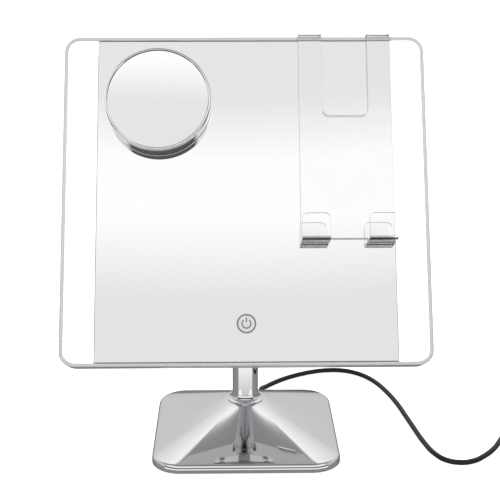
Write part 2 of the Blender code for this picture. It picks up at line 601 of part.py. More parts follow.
def make_stem(finishes, swivel):
    chrome, steel, nylon = (finishes[k] for k in ("chrome", "steel", "nylon"))
    stem_foot = APEX_HEIGHT + GAP
    smooth(ring("stem_tube", STEM_RADIUS - STEM_WALL, STEM_RADIUS, stem_foot, STEM_TOP, chrome, steps=32))

    inner = STEM_RADIUS + GAP
    profile = [(inner + GAP, stem_foot + COLLAR_HEIGHT)]
    for i in range(1, 4):
        angle = math.radians(90 * i / 4)
        radius = COLLAR_RADIUS - (COLLAR_RADIUS - inner - GAP) * math.cos(angle)
        height = stem_foot + COLLAR_EDGE + (COLLAR_HEIGHT - COLLAR_EDGE) * (1 - math.sin(angle))
        profile.append((radius, height))
    profile += [(COLLAR_RADIUS, stem_foot + COLLAR_EDGE), (COLLAR_RADIUS, stem_foot), (inner, stem_foot),
                (inner, stem_foot + COLLAR_HEIGHT)]
    smooth(turned("stem_collar", profile, chrome, steps=32))

    insert = STEM_RADIUS - STEM_WALL - GAP
    profile = [(insert, stem_foot + STUD_INSERT), (insert, stem_foot), (STUD_RADIUS, stem_foot),
               (STUD_RADIUS, STUD_FOOT), (LEAD_BORE, STUD_FOOT), (LEAD_BORE, stem_foot + STUD_INSERT)]
    smooth(turned("stem_stud", profile, steel))

    washer_top = APEX_HEIGHT - SHELL_WALL - GAP
    washer_low = washer_top - WASHER_THICKNESS
    ring("stud_washer", STUD_RADIUS + GAP, 0.6 * NUT_ACROSS_FLATS + GAP, washer_low, washer_top, steel)
    nut_top = washer_low - GAP
    shape = bmesh.new()
    bmesh.ops.create_cone(shape, cap_ends=True, segments=6, radius1=NUT_ACROSS_FLATS / math.sqrt(3),
                          radius2=NUT_ACROSS_FLATS / math.sqrt(3), depth=NUT_HEIGHT)
    bmesh.ops.translate(shape, vec=(0, 0, nut_top - 0.5 * NUT_HEIGHT), verts=shape.verts)
    nut = add_object("stud_nut", write_mesh("stud_nut", shape), steel)
    bore = rods("nut_bore", [(0, 0)], STUD_RADIUS + GAP, 0.0, APEX_HEIGHT, sides=20)
    combine(nut, add_cutter("nut_bore", bore))

    sleeve_outer = STEM_RADIUS - STEM_WALL - GAP
    sleeve_inner = SPIGOT_RADIUS + GAP
    flange_low = STEM_TOP + GAP
    profile = [(STEM_RADIUS, flange_low + BUSH_FLANGE), (STEM_RADIUS, flange_low), (sleeve_outer, flange_low),
               (sleeve_outer, flange_low - BUSH_SLEEVE), (sleeve_inner, flange_low - BUSH_SLEEVE),
               (sleeve_inner, flange_low + BUSH_FLANGE)]
    smooth(turned("swivel_bush", profile, nylon))

    groove_top = -HEAD_DROP - BUSH_FLANGE - BUSH_SLEEVE - GAP
    groove_low = groove_top - GROOVE_WIDTH
    groove_radius = SPIGOT_RADIUS - GROOVE_DEPTH
    top = FORK_TOP
    profile = [(0.0, top), (STEM_RADIUS - HEAD_CHAMFER, top), (STEM_RADIUS, top - HEAD_CHAMFER),
               (STEM_RADIUS, -HEAD_DROP), (SPIGOT_RADIUS, -HEAD_DROP), (SPIGOT_RADIUS, groove_top),
               (groove_radius, groove_top),
               (groove_radius, groove_low), (SPIGOT_RADIUS, groove_low),
               (SPIGOT_RADIUS, -HEAD_DROP - SPIGOT_LENGTH), (0.0, -HEAD_DROP - SPIGOT_LENGTH)]
    head = turned("swivel_head", profile, chrome, swivel, closed=False, steps=24)
    slot_height = 2 * (FORK_TOP + FORK_FLOOR)
    slot_middle = 0.5 * slot_height - FORK_FLOOR
    slot = block("fork_slot", (FORK_SLOT, 4 * STEM_RADIUS, slot_height), (0, 0, slot_middle))
    combine(head, add_cutter("fork_slot", slot, swivel))
    arch = arc((0, 0), 0.5 * FORK_DEPTH, 0, 180, 8)
    arch = [(x, y + FORK_TOP - 0.5 * FORK_DEPTH) for x, y in arch]
    wide = 2 * STEM_RADIUS
    deep = 2 * (HEAD_DROP + SPIGOT_LENGTH)
    arch += [(-0.5 * FORK_DEPTH, -FORK_FLOOR), (-wide, -FORK_FLOOR), (-wide, -deep), (wide, -deep),
             (wide, -FORK_FLOOR), (0.5 * FORK_DEPTH, -FORK_FLOOR)]
    arch = side_outline_mesh("fork_arch", arch, 2 * wide, 0.0)
    combine(head, add_cutter("fork_arch", arch, swivel), "INTERSECT")
    bore = rods("head_bore", [(0, 0)], LEAD_BORE, -deep, 0.0)
    combine(head, add_cutter("head_bore", bore, swivel))
    pin_hole = rods("fork_pin_hole", [(0, 0)], PIN_RADIUS + GAP, -wide, wide, axis=0, sides=16)
    combine(head, add_cutter("fork_pin_hole", pin_hole, swivel))
    for side in (-1, 1):
        low, high = sorted((side * EAR_SEAT, side * wide))
        name = f"ear_seat_{'left' if side < 0 else 'right'}"
        seat = rods(name, [(0, 0)], PIN_HEAD_RADIUS + PIN_SEAT_CLEARANCE, low, high, axis=0, sides=16)
        combine(head, add_cutter(name, seat, swivel))
    smooth(head)
    smooth(ring("swivel_retaining_ring", groove_radius + GAP, sleeve_outer - GAP, groove_low + GAP,
                groove_top - GAP, steel, swivel))

    head_seat = EAR_SEAT + GAP
    pin_end = head_seat - 2 * GAP + PIN_THREAD
    profile = [(0.0, pin_end), (PIN_RADIUS, pin_end), (PIN_RADIUS, -head_seat), (PIN_HEAD_RADIUS, -head_seat),
               (PIN_HEAD_RADIUS, -head_seat - 0.6 * PIN_HEAD_HEIGHT),
               (0.7 * PIN_HEAD_RADIUS, -head_seat - PIN_HEAD_HEIGHT), (0.0, -head_seat - PIN_HEAD_HEIGHT)]
    smooth(turned("hinge_pin", profile, steel, swivel, closed=False, steps=16, direction="X"))
    bore = PIN_RADIUS + GAP
    nut_end = head_seat + HINGE_NUT_HEIGHT
    bore_end = pin_end + 2 * GAP + 2 * TABLE_CLEARANCE
    profile = [(0.0, nut_end), (0.7 * PIN_HEAD_RADIUS, nut_end),
               (PIN_HEAD_RADIUS, head_seat + 0.5 * HINGE_NUT_HEIGHT), (PIN_HEAD_RADIUS, head_seat),
               (bore, head_seat), (bore, bore_end), (0.0, bore_end)]
    smooth(turned("hinge_nut", profile, steel, swivel, closed=False, steps=16, direction="X"))
    for side in (-1, 1):
        near = 0.5 * LUG_WIDTH + GAP
        low, high = sorted((side * near, side * (near + FRICTION_WASHER)))
        name = f"friction_washer_{'left' if side < 0 else 'right'}"
        ring(name, PIN_RADIUS + GAP, LUG_RADIUS, low, high, nylon, swivel, steps=20, direction="X")


# ---------------------------------------------------------------- panel

def cover_screw_places():
    u = 0.5 * MIRROR_WIDTH - COVER_SCREW_INSET
    v = 0.5 * PANEL_HEIGHT - COVER_SCREW_INSET
    return [(u, v), (-u, v), (-u, -v), (u, -v)]


def bracket_screw_places():
    u = 0.5 * BRACKET_WIDTH - BRACKET_SCREW_INSET
    v = 0.5 * BRACKET_HEIGHT - BRACKET_SCREW_INSET
    return [(u, v), (-u, v), (-u, -v), (u, -v)]


def make_hinge_bracket(finishes, tilt):
    steel = finishes["bracket"]
    back = PANEL_BACK - GAP - BRACKET_THICKNESS
    plate = panel_block("hinge_bracket", BRACKET_WIDTH, BRACKET_HEIGHT, back, PANEL_BACK - GAP,
                        radius=BRACKET_CORNER)
    bracket = add_object("hinge_bracket", plate, steel, tilt)
    root = back + 0.5 * BRACKET_THICKNESS
    lug = arc((0, 0), LUG_RADIUS, 75, 285, 10) + [(root, -1.25 * LUG_RADIUS), (root, 1.25 * LUG_RADIUS)]
    combine(bracket, add_cutter("lug", side_outline_mesh("lug", lug, LUG_WIDTH, 0.0), tilt), "UNION")
    pin_hole = rods("lug_pin_hole", [(0, 0)], PIN_RADIUS + GAP, -LUG_WIDTH, LUG_WIDTH, axis=0, sides=16)
    combine(bracket, add_cutter("lug_pin_hole", pin_hole, tilt))
    places = bracket_screw_places()
    holes = rods("bracket_holes", places, SCREW_RADIUS + SCREW_CLEARANCE, -PANEL_FRONT, -0.5 * back, axis=1)
    combine(bracket, add_cutter("bracket_holes", holes, tilt))
    smooth(bracket)
    tip = CHASSIS_FRONT - PANEL_SCREW_SHORT
    for number, (u, v) in enumerate(places, 1):
        screw(f"bracket_screw_{number}", (u, 0.0, v), back - GAP, tip, finishes["steel"], tilt, "-Y")


def make_cover(finishes, tilt):
    depth = PANEL_DEPTH - BEZEL_DEPTH - GAP
    front = PANEL_BACK + depth
    shape = block_shape((PANEL_WIDTH, depth, PANEL_HEIGHT), (0, -PANEL_BACK - 0.5 * depth, 0), PANEL_CORNER)
    back_edges = [edge for edge in shape.edges if all(abs(v.co.y + PANEL_BACK) < 1e-6 for v in edge.verts)]
    bmesh.ops.bevel(shape, geom=back_edges, offset=COVER_ROUND, segments=2, profile=0.5, affect="EDGES")
    open_face = [face for face in shape.faces if all(abs(v.co.y + front) < 1e-6 for v in face.verts)]
    bmesh.ops.delete(shape, geom=open_face, context="FACES_ONLY")
    cover = add_object("rear_cover", write_mesh("rear_cover", shape), finishes["silver_plastic"], tilt)
    wall = cover.modifiers.new("wall", "SOLIDIFY")
    wall.thickness = COVER_WALL
    wall.offset = -1.0
    wall.use_even_offset = True
    places = cover_screw_places() + bracket_screw_places()
    holes = rods("cover_holes", places, SCREW_RADIUS + SCREW_CLEARANCE, -PANEL_FRONT, 0.0, axis=1)
    combine(cover, add_cutter("cover_holes", holes, tilt))
    smooth(cover)
    tip = CHASSIS_FRONT - PANEL_SCREW_SHORT
    for number, (u, v) in enumerate(cover_screw_places(), 1):
        screw(f"cover_screw_{number}", (u, 0.0, v), PANEL_BACK - GAP, tip, finishes["steel"], tilt, "-Y")


def make_chassis(finishes, tilt):
    width = MIRROR_WIDTH - 4 * GAP
    height = OPENING_HEIGHT - 2 * GAP
    plate = panel_block("chassis", width, height, CHASSIS_BACK, CHASSIS_FRONT, radius=0.002)
    chassis = add_object("chassis", plate, finishes["black"], tilt)
    places = cover_screw_places() + bracket_screw_places()
    rooted = CHASSIS_BACK + 0.2 * CHASSIS_THICKNESS
    bosses = rods("bosses", places, BOSS_RADIUS, -rooted, -COVER_INSIDE - GAP, axis=1)
    combine(chassis, add_cutter("bosses", bosses, tilt), "UNION")
    blind = CHASSIS_FRONT - 0.5 * PANEL_SCREW_SHORT
    holes = rods("boss_holes", places, SCREW_RADIUS + SCREW_CLEARANCE, -blind, 0.0, axis=1)
    combine(chassis, add_cutter("boss_holes", holes, tilt))
    window = panel_block("control_window", CONTROL_WIDTH + 2 * CONTROL_MARGIN,
                         CONTROL_HEIGHT + 2 * CONTROL_MARGIN, 0.0, 2 * PANEL_FRONT, v=-TOUCH_DROP,
                         radius=CONTROL_MARGIN)
    combine(chassis, add_cutter("control_window", window, tilt))


def make_front(finishes, tilt):
    low = PANEL_FRONT - BEZEL_DEPTH
    frame = panel_block("front_bezel", PANEL_WIDTH, PANEL_HEIGHT, low, PANEL_FRONT, radius=PANEL_CORNER)
    bezel = add_object("front_bezel", frame, finishes["silver_plastic"], tilt)
    opening = panel_block("bezel_opening", OPENING_WIDTH, OPENING_HEIGHT, 0.0, 2 * PANEL_FRONT,
                          radius=PANEL_CORNER - BEZEL_FACE)
    combine(bezel, add_cutter("bezel_opening", opening, tilt))
    edge = bezel.modifiers.new("edge", "BEVEL")
    edge.width = BEZEL_ROUND
    edge.segments = 1
    edge.limit_method = "ANGLE"
    edge.angle_limit = math.radians(60)
    smooth(bezel)

    height = OPENING_HEIGHT - 2 * GAP
    glass = panel_block("mirror_glass", MIRROR_WIDTH - 2 * GAP, height, GLASS_BACK, GLASS_FRONT)
    add_object("mirror_glass", glass, finishes["mirror"], tilt)
    for side in (-1, 1):
        hand = "left" if side < 0 else "right"
        middle = side * 0.5 * (MIRROR_WIDTH + STRIP_WIDTH)
        width = STRIP_WIDTH - 2 * GAP
        shape = block_shape((width, GLASS_THICKNESS, height), (middle, -0.5 * (GLASS_BACK + GLASS_FRONT), 0))
        outer = [edge for edge in shape.edges
                 if all(side * v.co.x > side * middle for v in edge.verts)
                 and abs(edge.verts[0].co.y - edge.verts[1].co.y) > 0.5 * GLASS_THICKNESS]
        bmesh.ops.bevel(shape, geom=outer, offset=PANEL_CORNER - BEZEL_FACE - GAP, segments=5, profile=0.5,
                        affect="EDGES")
        diffuser = write_mesh(f"light_diffuser_{hand}", shape)
        add_object(f"light_diffuser_{hand}", diffuser, finishes["diffuser"], tilt)

        tray_back = CHASSIS_FRONT - TRAY_DEPTH
        tray_width = width - 0.5 * TRAY_WALL
        tray_height = height - 2 * (PANEL_CORNER - BEZEL_FACE)
        tray = panel_block(f"light_tray_{hand}", tray_width, tray_height, tray_back, CHASSIS_FRONT, u=middle)
        tray = add_object(f"light_tray_{hand}", tray, finishes["white"], tilt)
        hollow = panel_block(f"tray_hollow_{hand}", tray_width - 2 * TRAY_WALL, tray_height - 2 * TRAY_WALL,
                             tray_back + TRAY_WALL, 2 * PANEL_FRONT, u=middle)
        combine(tray, add_cutter(f"tray_hollow_{hand}", hollow, tilt))

        board_back = tray_back + TRAY_WALL + GAP
        board_front = board_back + BOARD_THICKNESS
        board_height = tray_height - 2 * (TRAY_WALL + LED_BOARD_END)
        board = panel_block(f"led_board_{hand}", LED_BOARD_WIDTH, board_height, board_back, board_front,
                            u=middle)
        board = add_object(f"led_board_{hand}", board, finishes["board"], tilt)
        shape = bmesh.new()
        for i in range(LED_COUNT):
            chip = bmesh.ops.create_cube(shape, size=1.0)
            bmesh.ops.scale(shape, vec=(LED_SIDE, LED_HEIGHT, LED_SIDE), verts=chip["verts"])
            rise = board_height * ((i + 0.5) / LED_COUNT - 0.5)
            place = (middle, -board_front - 0.3 * LED_HEIGHT, rise)
            bmesh.ops.translate(shape, vec=place, verts=chip["verts"])
        combine(board, add_cutter(f"leds_{hand}", write_mesh(f"leds_{hand}", shape), tilt), "UNION")


def make_electronics(finishes, tilt):
    board_front = CHASSIS_BACK - CONTROL_STANDOFF
    board_back = board_front - BOARD_THICKNESS
    board = panel_block("control_board", CONTROL_WIDTH, CONTROL_HEIGHT, board_back, board_front,
                        v=-TOUCH_DROP)
    board = add_object("control_board", board, finishes["board"], tilt)
    chip_back = board_back - CHIP_HEIGHT
    side = 0.18 * CONTROL_HEIGHT
    place = 0.25 * CONTROL_WIDTH
    for name, width, u in (("driver_chip", 1.2 * side, -place), ("socket", 1.6 * side, place)):
        chip = panel_block(name, width, side, chip_back, board_back + GAP, u=u, v=-TOUCH_DROP - 0.8 * side)
        combine(board, add_cutter(name, chip, tilt), "UNION")

    pad_front = GLASS_BACK - GAP
    pad_back = pad_front - TOUCH_PLATE
    pad_foot = board_front + GAP
    profile = [(0.0, pad_front), (TOUCH_RADIUS, pad_front), (TOUCH_RADIUS, pad_back),
               (TOUCH_SPRING, pad_back), (TOUCH_SPRING, pad_foot), (0.0, pad_foot)]
    pad = turned("touch_pad", profile, finishes["steel"], tilt, closed=False, steps=24, direction="-Y")
    pad.location = (0.0, 0.0, -TOUCH_DROP)
    smooth(pad)

    depth = COVER_INSIDE + GAP + HARNESS_RADIUS + 0.0016
    reach = 0.5 * MIRROR_WIDTH + 0.5 * STRIP_WIDTH
    route = [(-reach, -depth, -TOUCH_DROP + 0.022), (-0.8 * reach, -depth, -TOUCH_DROP + 0.016),
             (-0.4 * reach, -depth, -TOUCH_DROP + 0.004), (0.0, -depth, -TOUCH_DROP + 0.002),
             (0.4 * reach, -depth, -TOUCH_DROP + 0.004), (0.8 * reach, -depth, -TOUCH_DROP + 0.016),
             (reach, -depth, -TOUCH_DROP + 0.022)]
    tube("led_harness", route, HARNESS_RADIUS, finishes["lead"], tilt, spacing=0.024)

    depth = COVER_INSIDE + GAP + LEAD_RADIUS + 0.001
    end = -TOUCH_DROP + 0.5 * CONTROL_HEIGHT - 0.004
    route = [(0.0, -depth, -0.004), (0.0, -depth, -0.03), (0.003, -depth, -0.055),
             (0.004, -depth, end + 0.02), (0.004, -depth - 0.0006, end)]
    tube("panel_lead", route, LEAD_RADIUS, finishes["lead"], tilt, spacing=0.018)


# ---------------------------------------------------------------- magnifier and phone cradle

def make_magnifier(finishes, slide):
    """Its pieces are made about the slide's own origin, on the magnifier's axis at the tilt pin's depth."""
    r = MAGNIFIER_RADIUS
    front = MAGNIFIER_FRONT
    back = PANEL_FRONT + MAGNIFIER_STANDOFF
    web_back = GLASS_FRONT + CUP_HEIGHT + 2 * GAP
    web_front = web_back + MAGNIFIER_WEB
    ledge = front - LENS_RECESS - LENS_THICKNESS - GAP
    seat = r - MAGNIFIER_RIM
    inside = seat - MAGNIFIER_LEDGE
    edge = MAGNIFIER_EDGE
    profile = [(0.0, web_front), (inside, web_front), (inside, ledge), (seat, ledge), (seat, front),
               (r - edge, front), (r, front - edge), (r, back + edge), (r - edge, back),
               (r - MAGNIFIER_WALL, back), (r - MAGNIFIER_WALL, web_back), (0.0, web_back)]
    smooth(turned("magnifier_housing", profile, finishes["chrome"], slide, closed=False, steps=36,
                  direction="-Y"))

    lens_radius = seat - GAP
    lens_back = ledge + GAP
    lens_edge = lens_back + LENS_THICKNESS
    profile = [(0.0, lens_edge - LENS_DISH)]
    for i in range(1, 4):
        profile.append((lens_radius * i / 3, lens_edge - LENS_DISH * (1 - (i / 3) ** 2)))
    profile += [(lens_radius, lens_back), (0.0, lens_back)]
    smooth(turned("magnifier_glass", profile, finishes["mirror"], slide, closed=False, steps=36,
                  direction="-Y"))

    top = web_back - GAP
    low = GLASS_FRONT + GAP
    for number in range(3):
        angle = math.radians(90 + 120 * number)
        neck = top - CUP_STUD_HEIGHT
        profile = [(0.0, top), (CUP_STUD, top), (CUP_STUD, neck), (CUP_RADIUS, low + CUP_WALL),
                   (CUP_RADIUS, low), (CUP_RADIUS - CUP_WALL, low), (0.8 * CUP_STUD, neck - CUP_WALL),
                   (0.0, neck - 1.2 * CUP_WALL)]
        cup = turned(f"suction_cup_{number + 1}", profile, finishes["clear_rubber"], slide, closed=False,
                     steps=20, direction="-Y")
        cup.location = (CUP_CIRCLE * math.cos(angle), 0.0, CUP_CIRCLE * math.sin(angle))
        smooth(cup)


def make_cradle(finishes, slide):
    """One bent sheet; its slide's origin is on its middle plane."""
    sheet = CRADLE_SHEET
    plate = PANEL_FRONT + CRADLE_STANDOFF + 0.5 * sheet
    leg = PANEL_BACK - CRADLE_STANDOFF - 0.5 * sheet
    top = 0.5 * PANEL_HEIGHT + CRADLE_STANDOFF + 0.5 * sheet
    shelf = CRADLE_BOTTOM + 0.5 * sheet
    lip = plate + sheet + CRADLE_CHANNEL
    lip_top = CRADLE_BOTTOM + CRADLE_LIP
    corners = [(leg, top - CRADLE_HOOK), (leg, top), (plate, top), (plate, shelf), (lip, shelf),
               (lip, lip_top)]
    strip = side_outline_mesh("phone_cradle", bent_strip(corners, sheet, CRADLE_BEND), CRADLE_WIDTH, 0.0)
    cradle = add_object("phone_cradle", strip, finishes["acrylic"], slide)
    gap_width = CRADLE_WIDTH - 2 * STRAP_WIDTH
    straps = panel_block("strap_gap", gap_width, 2 * STRAP_LENGTH, 0.0, 2 * plate, v=top, radius=STRAP_CORNER)
    combine(cradle, add_cutter("strap_gap", straps, slide))
    face = plate + 0.5 * sheet
    gap_width = CRADLE_WIDTH - 2 * LIP_WIDTH
    lips = panel_block("lip_gap", gap_width, 2 * CRADLE_LIP, face + 0.1 * GAP, 2 * lip, v=CRADLE_BOTTOM)
    combine(cradle, add_cutter("lip_gap", lips, slide))


# ---------------------------------------------------------------- leads and cord

def make_leads(finishes):
    exit_y = 0.5 * BASE_DEPTH
    inside = exit_y - RIM_ROUND - RELIEF_SETBACK
    flange = RELIEF_RADIUS + RELIEF_FLANGE
    profile_y = [(0.0, exit_y - RELIEF_INSIDE), (0.9 * RELIEF_RADIUS, exit_y - RELIEF_INSIDE),
                 (0.9 * RELIEF_RADIUS, inside - RELIEF_FLANGE_DEPTH), (flange, inside - RELIEF_FLANGE_DEPTH),
                 (flange, inside - GAP), (RELIEF_RADIUS, inside - GAP),
                 (RELIEF_RADIUS, exit_y + RELIEF_COLLAR),
                 (CORD_RADIUS + RELIEF_TIP, exit_y + RELIEF_OUTSIDE), (0.0, exit_y + RELIEF_OUTSIDE)]
    relief = turned("strain_relief", profile_y[::-1], finishes["rubber"], closed=False, direction="Y")
    relief.location = (CORD_EXIT_X, 0.0, CORD_EXIT_Z)
    smooth(relief)

    start_y = exit_y - RELIEF_INSIDE - GAP
    over = WEIGHT_FLOOR + WEIGHT_HEIGHT + LEAD_RADIUS
    edge_low = 0.5 * BASE_DEPTH - WEIGHT_BOTTOM_INSET
    edge_high = 0.5 * BASE_DEPTH - WEIGHT_TOP_INSET
    halfway = 0.5 * (edge_low + edge_high)
    exit_x = CORD_EXIT_X
    # The lead climbs the weight's slope, crosses its top and turns up into the stud; its points are chosen
    # by hand beside the weight and the stud.
    route = [(exit_x, start_y, CORD_EXIT_Z), (exit_x, start_y - 0.0015, CORD_EXIT_Z),
             (exit_x, edge_low - 0.0015, WEIGHT_FLOOR + 0.0046),
             (exit_x - 0.001, halfway + 0.001, WEIGHT_FLOOR + 0.5 * WEIGHT_HEIGHT + 0.0029),
             (exit_x - 0.003, edge_high + 0.001, over + 0.0008),
             (exit_x - 0.006, 0.8 * edge_high, over + 0.0014),
             (exit_x - 0.009, 0.5 * edge_high, over + 0.0012), (0.002, 0.25 * edge_high, over + 0.0002),
             (0.0, 0.004, over + 0.0002), (0.0, 0.0005, over + 0.0035), (0.0, 0.0, STUD_FOOT + 0.004),
             (0.0, 0.0, STUD_FOOT + 0.03), (0.0, 0.0, 0.5 * PIVOT_HEIGHT), (0.0, 0.0, HEAD_SEAT + 0.004)]
    tube("stem_lead", route, LEAD_RADIUS, finishes["lead"], spacing=0.009)

    outer = COIL_RADIUS + 0.5 * COIL_PITCH + CORD_RADIUS + GAP
    inner = COIL_RADIUS - 0.5 * COIL_PITCH - CORD_RADIUS - GAP
    reach = outer + CORD_RADIUS + GAP
    spread = math.acos((COIL_RADIUS + 0.5 * COIL_PITCH) / reach)
    meet = math.radians(COIL_ENTRY) + spread
    leave = math.radians(COIL_EXIT) - spread
    start = (CORD_EXIT_X, exit_y + RELIEF_OUTSIDE + GAP, CORD_EXIT_Z)
    end = (COIL_X + reach * math.cos(meet), COIL_Y + reach * math.sin(meet), CORD_RADIUS + TABLE_CLEARANCE)
    tube("power_cord", [start] + CORD_ROUTE + [end], CORD_RADIUS, finishes["cord"])

    top = 2 * COIL_PITCH + 2 * CORD_RADIUS + GAP
    soft = 0.8 * CORD_RADIUS
    low = TABLE_CLEARANCE
    profile = [(inner + soft, top), (outer - soft, top), (outer, top - soft), (outer, soft),
               (outer - soft, low), (inner + soft, low), (inner, soft), (inner, top - soft)]
    coil = turned("cord_coil", profile, finishes["cord"], steps=32)
    coil.location = (COIL_X, COIL_Y, 0.0)
    smooth(coil)

    leave_z = COIL_PITCH + CORD_RADIUS
    entry_z = 0.5 * ADAPTOR_HEIGHT + TABLE_CLEARANCE
    boot_end = ADAPTOR_Y - ADAPTOR_BOOT - GAP
    start = (COIL_X + reach * math.cos(leave), COIL_Y + reach * math.sin(leave), leave_z)
    route = [start, (ADAPTOR_X - 0.0075, boot_end - 0.0205, leave_z + 0.0012),
             (ADAPTOR_X - 0.0030, boot_end - 0.0140, leave_z + 0.0030),
             (ADAPTOR_X - 0.0007, boot_end - 0.0075, entry_z - 0.0007),
             (ADAPTOR_X, boot_end - 0.003, entry_z), (ADAPTOR_X, boot_end, entry_z)]
    tube("power_cord_end", route, CORD_RADIUS, finishes["cord"], spacing=0.006)

    size = (ADAPTOR_WIDTH, ADAPTOR_LENGTH, ADAPTOR_HEIGHT)
    centre = (ADAPTOR_X, ADAPTOR_Y + 0.5 * ADAPTOR_LENGTH, entry_z)
    box = block("adaptor_body", size, centre, ADAPTOR_CORNER, axis=1)
    adaptor = add_object("adaptor_body", box, finishes["black"])
    shape = bmesh.new()
    boot_depth = 1.2 * ADAPTOR_BOOT
    bmesh.ops.create_cone(shape, cap_ends=True, segments=20, radius1=CORD_RADIUS + BOOT_TIP,
                          radius2=CORD_RADIUS + BOOT_WALL, depth=boot_depth)
    along_y = Matrix.Rotation(math.radians(-90), 3, "X")
    bmesh.ops.rotate(shape, cent=(0, 0, 0), matrix=along_y, verts=shape.verts)
    bmesh.ops.translate(shape, vec=(ADAPTOR_X, ADAPTOR_Y - ADAPTOR_BOOT + 0.5 * boot_depth, entry_z),
                        verts=shape.verts)
    combine(adaptor, add_cutter("adaptor_boot", write_mesh("adaptor_boot", shape)), "UNION")
    for side in (-1, 1):
        hand = "left" if side < 0 else "right"
        face = ADAPTOR_Y + ADAPTOR_LENGTH + GAP
        centre = (ADAPTOR_X + side * 0.5 * PRONG_SPACING, face + 0.5 * PRONG_LENGTH, entry_z)
        size = (PRONG_THICKNESS, PRONG_LENGTH, PRONG_WIDTH)
        prong = block(f"adaptor_prong_{hand}", size, centre, 0.25 * PRONG_THICKNESS, axis=1, segments=1)
        add_object(f"adaptor_prong_{hand}", prong, finishes["steel"])


def main():
    for thing in list(bpy.data.objects):
        bpy.data.objects.remove(thing)
    for name in (PARTS, CUTTERS):
        collection = bpy.data.collections.new(name)
        bpy.context.scene.collection.children.link(collection)
    finishes = {
        "chrome": make_material("chrome_plate", (0.80, 0.80, 0.81), 0.06, 1.0),
        "steel": make_material("bright_steel", (0.55, 0.55, 0.56), 0.30, 1.0),
        "bracket": make_material("satin_steel", (0.60, 0.60, 0.61), 0.35, 1.0),
        "iron": make_material("cast_iron", (0.08, 0.08, 0.085), 0.60, 0.8),
        "black": make_material("black_abs", (0.03, 0.03, 0.03), 0.45),
        "rubber": make_material("black_rubber_foam", (0.02, 0.02, 0.02), 0.80),
        "nylon": make_material("white_nylon", (0.78, 0.78, 0.75), 0.50),
        "silver_plastic": make_material("silver_abs", (0.72, 0.73, 0.74), 0.30, 0.1),
        "white": make_material("white_abs", (0.85, 0.85, 0.85), 0.50),
        "mirror": make_material("silvered_glass", (0.92, 0.93, 0.93), 0.02, 1.0),
        "diffuser": make_material("frosted_acrylic", (0.95, 0.95, 0.95), 0.40),
        "board": make_material("circuit_board", (0.85, 0.87, 0.85), 0.55),
        "clear_rubber": make_material("clear_vinyl", (0.85, 0.88, 0.90), 0.15, 0.0, 0.4),
        "acrylic": make_material("clear_acrylic", (0.93, 0.94, 0.95), 0.05, 0.0, 0.3),
        "lead": make_material("inner_lead", (0.60, 0.60, 0.60), 0.50),
        "cord": make_material("cord_sheath", (0.024, 0.020, 0.018), 0.45),
    }
    swivel = add_axis("swivel_axis", (0.0, 0.0, PIVOT_HEIGHT))
    tilt = add_axis("tilt_axis", (0.0, 0.0, 0.0), swivel)
    tilt.rotation_euler = (-math.radians(PANEL_LEAN), 0.0, 0.0)
    magnifier = add_axis("magnifier_slide", (MAGNIFIER_U, 0.0, MAGNIFIER_V), tilt)
    cradle = add_axis("cradle_slide", (CRADLE_U, 0.0, 0.0), tilt)
    make_base(finishes)
    make_stem(finishes, swivel)
    make_hinge_bracket(finishes, tilt)
    make_cover(finishes, tilt)
    make_chassis(finishes, tilt)
    make_front(finishes, tilt)
    make_electronics(finishes, tilt)
    make_magnifier(finishes, magnifier)
    make_cradle(finishes, cradle)
    make_leads(finishes)


main()
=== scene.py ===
"""The looks of a lighted tabletop mirror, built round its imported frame.

Metres, +Z up, +X to the viewer's right, the mirror faces -Y. Pieces of the leaning panel are modelled
upright about the tilt axis, with the panel's front towards -Y, and are then laid back with it.
"""
import json
import math

import bmesh
import bpy
from mathutils import Matrix, Vector


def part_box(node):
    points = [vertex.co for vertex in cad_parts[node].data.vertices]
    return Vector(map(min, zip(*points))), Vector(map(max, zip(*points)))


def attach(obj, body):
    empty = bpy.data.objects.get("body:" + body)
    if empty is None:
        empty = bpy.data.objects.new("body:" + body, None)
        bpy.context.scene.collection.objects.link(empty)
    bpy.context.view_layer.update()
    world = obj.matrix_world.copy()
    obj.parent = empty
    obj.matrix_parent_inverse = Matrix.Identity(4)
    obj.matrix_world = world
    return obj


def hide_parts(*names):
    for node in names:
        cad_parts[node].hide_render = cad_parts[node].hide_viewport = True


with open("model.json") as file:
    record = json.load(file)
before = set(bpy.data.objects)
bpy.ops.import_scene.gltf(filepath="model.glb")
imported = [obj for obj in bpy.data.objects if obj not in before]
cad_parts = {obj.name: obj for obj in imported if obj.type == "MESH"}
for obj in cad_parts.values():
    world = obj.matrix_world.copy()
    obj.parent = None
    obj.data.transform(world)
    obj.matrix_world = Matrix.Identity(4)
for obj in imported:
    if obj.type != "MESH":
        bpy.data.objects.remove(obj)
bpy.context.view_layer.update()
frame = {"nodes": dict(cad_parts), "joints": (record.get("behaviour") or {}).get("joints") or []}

JOINTS = {joint["name"]: joint for joint in frame["joints"]}
TILT_AXIS = Vector(JOINTS["panel_tilt"]["pos_m"])
PULL = Vector(JOINTS["magnifier_pull"]["axis"])
LEAN = math.atan2(PULL.z, -PULL.y)
LAID_BACK = Matrix.Translation(TILT_AXIS) @ Matrix.Rotation(-LEAN, 4, "X")
UPRIGHT = LAID_BACK.inverted()

GAP = 0.0003                  # between pieces that touch
WELD = 0.000002               # points nearer than this are one
QUARTER = 0.5 * math.pi
MM = 0.001


# ---------------------------------------------------------------- camera

CAMERA_PLACE = (-0.0119, -0.9628, 0.4586)
CAMERA_LENS = 82.8            # mm
CAMERA_DOWN = 16.42           # degrees below level
CAMERA_RIGHT = 0.96           # degrees towards +X


